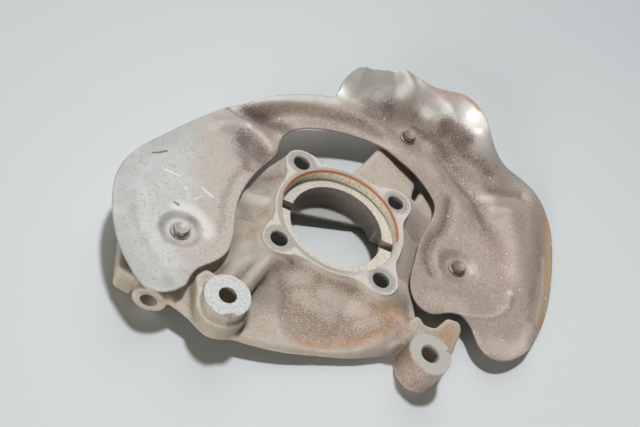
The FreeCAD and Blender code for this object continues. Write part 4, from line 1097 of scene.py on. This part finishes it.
# %% Cast skin
colour = layered(tree, paint("#BDB1A1"), mask, [
    ("#ABA08F", "blotch", "cloud", 1.4, 0.4), ("#C8BAAA", "arm", "blotch", 1.0, 0.4, 0.8),
    ("#8E8170", "flecks", "sand", 4.0, 0.25, 0.5), ("#95816F", "mauve", "blotch", 0.9, 0.4, 0.95),
    ("#8A7368", "mauve", "sand", 3.0, 0.4, 0.4), ("#B7885F", "orange", "blotch", 1.4, 0.45, 0.8),
    ("#8C6A60", "red", "sand", 1.4, 0.45, 0.75), ("#98928A", "grey", "sand", 1.4, 0.4, 0.85),
    # 93867A is painted shade; #67584C darkens the hollows, partly dirt and partly painted shade.
    ("#93867A", "painted_shade", "blotch", 1.0, 0.45, 0.8), ("#67584C", "hollow_dirt_and_shade", "sand", 0.9, 0.5, 0.6),
    # D8D2C7 is mostly painted highlight.
    ("#CFC6BA", "worn", "sand", 1.2, 0.5, 0.55), ("#D8D2C7", "pale", "sand", 1.0, 0.45, 0.8),
    ("#CCC6BA", "lip", "blotch", 1.6, 0.45, 0.75), ("#CFC3B6", 0.2, "grain", 4.0, 0.25, 0.55),
    ("#D2C3B7", "spots", "grain", 3.6, 0.3, 0.8),
])
colour = salt(tree, colour, "#E2D9CF", place, mask["spots"], 2.4)
colour = layered(tree, colour, mask, [("#8E857B", "mark", "grain", 0.4, 0.4, 0.7)])

# %% Machined faces
between = within(tree, from_ear, 13.0, 99.0, 5.0)
left_face = within(tree, across, -90.0, -44.0, 1.0, within(tree, along, -130.0, -80.0, 1.0))
pitted = add(tree, "ShaderNodeMath", {0: left_face, 1: 0.42, 2: -0.1}, operation="MULTIPLY_ADD").outputs[0]
mask |= {
    "between ears": between,
    "border": within(tree, flange_edge, 0.0, 2.0, 1.8),
    "blanched": within(tree, across, 30.0, 80.0, 25.0, within(tree, along, -50.0, 70.0, 10.0, between)),
    # A painted glint on the chamfers of the ear holes.
    "hole chamfer glint": within(tree, from_ear, 0.0, 7.35, 0.2),
    "left face": left_face,
    "right face": within(tree, across, 62.0, 110.0, 1.0, within(tree, along, -110.0, -62.0, 1.0)),
    "pitted": pitted,
}
metal = layered(tree, paint("#A2A19B"), mask, [
    ("#908E88", "blotch", "cloud", 1.6, 0.4), ("#A69A8D", "between ears", "blotch", 1.2, 0.4, 0.8),
    ("#857C72", 0.25, "sand", 3.6, 0.25, 0.5), ("#C2BBB1", 0.28, "grain", 4.0, 0.25, 0.5),
    ("#D3CCC4", "border", "sand", 3.0, 0.3, 0.75), ("#D1CAC4", "blanched", "sand", 3.0, 0.3, 0.7),
    # D9D8D3 is a painted glint on the ear holes' chamfers.
    ("#D9D8D3", "hole chamfer glint", "blotch", 2.4, 0.3, 0.8), ("#C2C4C2", "left face", "sand", 0.6, 0.3),
    ("#B7B4AE", "right face", "sand", 0.6, 0.3), ("#9A9C9C", "pitted", "sand", 3.6, 0.3, 0.8),
    ("#DBDAD6", "pitted", "grain", 3.0, 0.25, 0.7),
])
colour = add(tree, "ShaderNodeMix", {0: faced, 6: colour, 7: metal}, data_type="RGBA").outputs[2]

# %% Bearing seat, well and holes
seat = within(tree, from_bore, 36.7, 46.3, 0.2, within(tree, level, -8.4, -0.9, 0.3))
well_wall = within(tree, from_bore, 0.0, 36.6, 0.1, within(tree, level, -60.0, -8.2, 0.2))
mouth = within(tree, from_bore, 45.2, 46.9, 0.3, within(tree, level, -1.3, 9.0, 0.2))
mask |= {
    "seat": seat,
    # The seat's wall is painted lighter than the seat: painted light.
    "seat wall painted lit": within(tree, from_bore, 44.9, 46.3, 0.2, seat),
    "seat dirt": add(tree, "ShaderNodeMath", {0: seat, 1: 0.3}, operation="MULTIPLY").outputs[0],
    # The well's wall is painted dark grey: painted shade.
    "well wall painted dark": well_wall,
    "speckle": add(tree, "ShaderNodeMath", {0: well_wall, 1: 0.35}, operation="MULTIPLY").outputs[0],
    "shelf": within(tree, from_bore, 0.0, 35.0, 1.0, within(tree, level, -26.2, -25.0, 0.4)),
    "hole wall": within(tree, from_ear, 0.0, 6.7, 0.2, within(tree, level, -60.0, -0.9, 0.2)),
    "ring rust": within(tree, along, 4.0, 60.0, 6.0, mouth),
}
colour = layered(tree, colour, mask, [
    # F2EADB on the seat's wall is painted light.
    ("#DAD3C5", "seat", "blotch", 0.5, 0.2), ("#F2EADB", "seat wall painted lit", "blotch", 0.5, 0.2),
    # 847E76 on the well's wall is painted shade.
    ("#A89D8E", "seat dirt", "sand", 3.4, 0.3, 0.6), ("#847E76", "well wall painted dark", "sand", 0.6, 0.3),
    ("#A9A39A", "speckle", "grain", 3.6, 0.3, 0.6), ("#B9B6AE", "shelf", "blotch", 0.8, 0.3),
    ("#A09F9B", "hole wall", "sand", 0.6, 0.3), ("#B9672F", "ring rust", "sand", 1.6, 0.3, 0.85),
])

# %% Shine and relief of the casting
bare = add(tree, "ShaderNodeMapRange", {"Value": faced,"To Min": 0.08, "To Max": 0.2}).outputs[0]
rough = add(tree, "ShaderNodeMapRange", {"Value": faced, "To Min": 0.56, "To Max": 0.5}).outputs[0]
relief = {0: mask["sand"], 1: 0.6, 2: mask["grain"]}
rise = add(tree, "ShaderNodeMath", relief, operation="MULTIPLY_ADD").outputs[0]
finished(tree, shader, colour, bare, rough, rise, 0.22)
knuckle.data.materials.clear()
knuckle.data.materials.append(cast_finish)
print("finish of the casting: %d nodes" % len(tree.nodes))

# %% Material of the bolts
# Zinc plating dulls to grey and takes up the same brown dirt, most of it on the upper bolt.
bolt_finish, tree, shader, place, mask = new_finish("dirty zinc-plated steel", ["dirt"])
colour = layered(tree, paint("#B2ADA7"), mask, [
    ("#9B948B", "blotch", "sand", 1.5, 0.4, 0.7), ("#85776B", "dirt", "sand", 1.0, 0.4, 0.9),
])
finished(tree, shader, colour, 0.25, 0.5, mask["sand"], 0.08)
for piece in bolt_pieces.values():
    piece.data.materials.append(bolt_finish)

# %% [markdown]
# ## Bench, light and background
# A pale bench lies under the object's three feet. The real one is a smooth light grey sheet; its colour
# here is painted darker away from the object, a painted shade for light that falls off. A window on the
# far side gives the dark shadows on the near side. A wide far wall lightens them, mostly under the band.
# A low near wall lights upright walls that face the camera but hardly the bench, and a faint warm world
# fills the rest.

# %% Bench
BENCH_NORMAL = Vector((-0.083, 0.0035, 0.9966)).normalized()
BENCH_DISTANCE = -33.6
BENCH_REACH = 4.0
bench_mesh = bpy.data.meshes.new("bench")
side = BENCH_NORMAL.cross(Vector((0.0, 1.0, 0.0))).normalized()
ahead = BENCH_NORMAL.cross(side).normalized()
centre = BENCH_NORMAL * BENCH_DISTANCE * MM
bench_corners = [centre + BENCH_REACH * (side * across + ahead * along)
                 for across, along in ((-1, -1), (-1, 1), (1, 1), (1, -1))]
bench_mesh.from_pydata([tuple(corner) for corner in bench_corners], [], [(0, 1, 2, 3)])
bench = bpy.data.objects.new("bench", bench_mesh)
bpy.context.collection.objects.link(bench)
bench_material = bpy.data.materials.new("matt laminate bench")
bench_material.use_nodes = True
tree = bench_material.node_tree
place = add(tree, "ShaderNodeTexCoord").outputs["Object"]
# Painted shade: the bench's colour darkens with distance from a point near the object.
ends = {0: place, 1: (0.05, -0.05, 0.0)}
away = add(tree, "ShaderNodeVectorMath", ends, operation="DISTANCE").outputs["Value"]
share = add(tree, "ShaderNodeMapRange", {"Value": away, "From Min": 0.22, "From Max": 0.6}).outputs[0]
colours = {0: share, 6: paint("#D6DADB"), 7: paint("#C4C8CB")}
colour = add(tree, "ShaderNodeMix", colours, data_type="RGBA").outputs[2]
tree.links.new(colour, tree.nodes["Principled BSDF"].inputs["Base Color"])
tree.nodes["Principled BSDF"].inputs["Roughness"].default_value = 0.6
bench_mesh.materials.append(bench_material)

# %% Lamps and world
# Each lamp's name, energy, width in degrees, direction towards it and colour.
LAMPS = [("window", 2.20, 7.0, (-0.10, 0.39, 0.92), "#FAFCFF"),
         ("far wall", 0.75, 45.0, (-0.10, 0.78, 0.62), "#FFFCF4"),
         ("near wall", 2.40, 30.0, (-0.42, -0.90, 0.10), "#FFFBF2")]
for name, energy, width, direction, code in LAMPS:
    lamp_data = bpy.data.lights.new(name, "SUN")
    lamp_data.energy = energy
    lamp_data.angle = np.radians(width)
    lamp_data.color = paint(code)[:3]
    lamp = bpy.data.objects.new(name, lamp_data)
    lamp.rotation_euler = Vector(direction).to_track_quat("Z", "Y").to_euler()
    bpy.context.collection.objects.link(lamp)
world = bpy.data.worlds.new("pale room")
bpy.context.scene.world = world
world.use_nodes = True
world.node_tree.nodes["Background"].inputs["Color"].default_value = paint("#F0EDE2")
world.node_tree.nodes["Background"].inputs["Strength"].default_value = 0.04
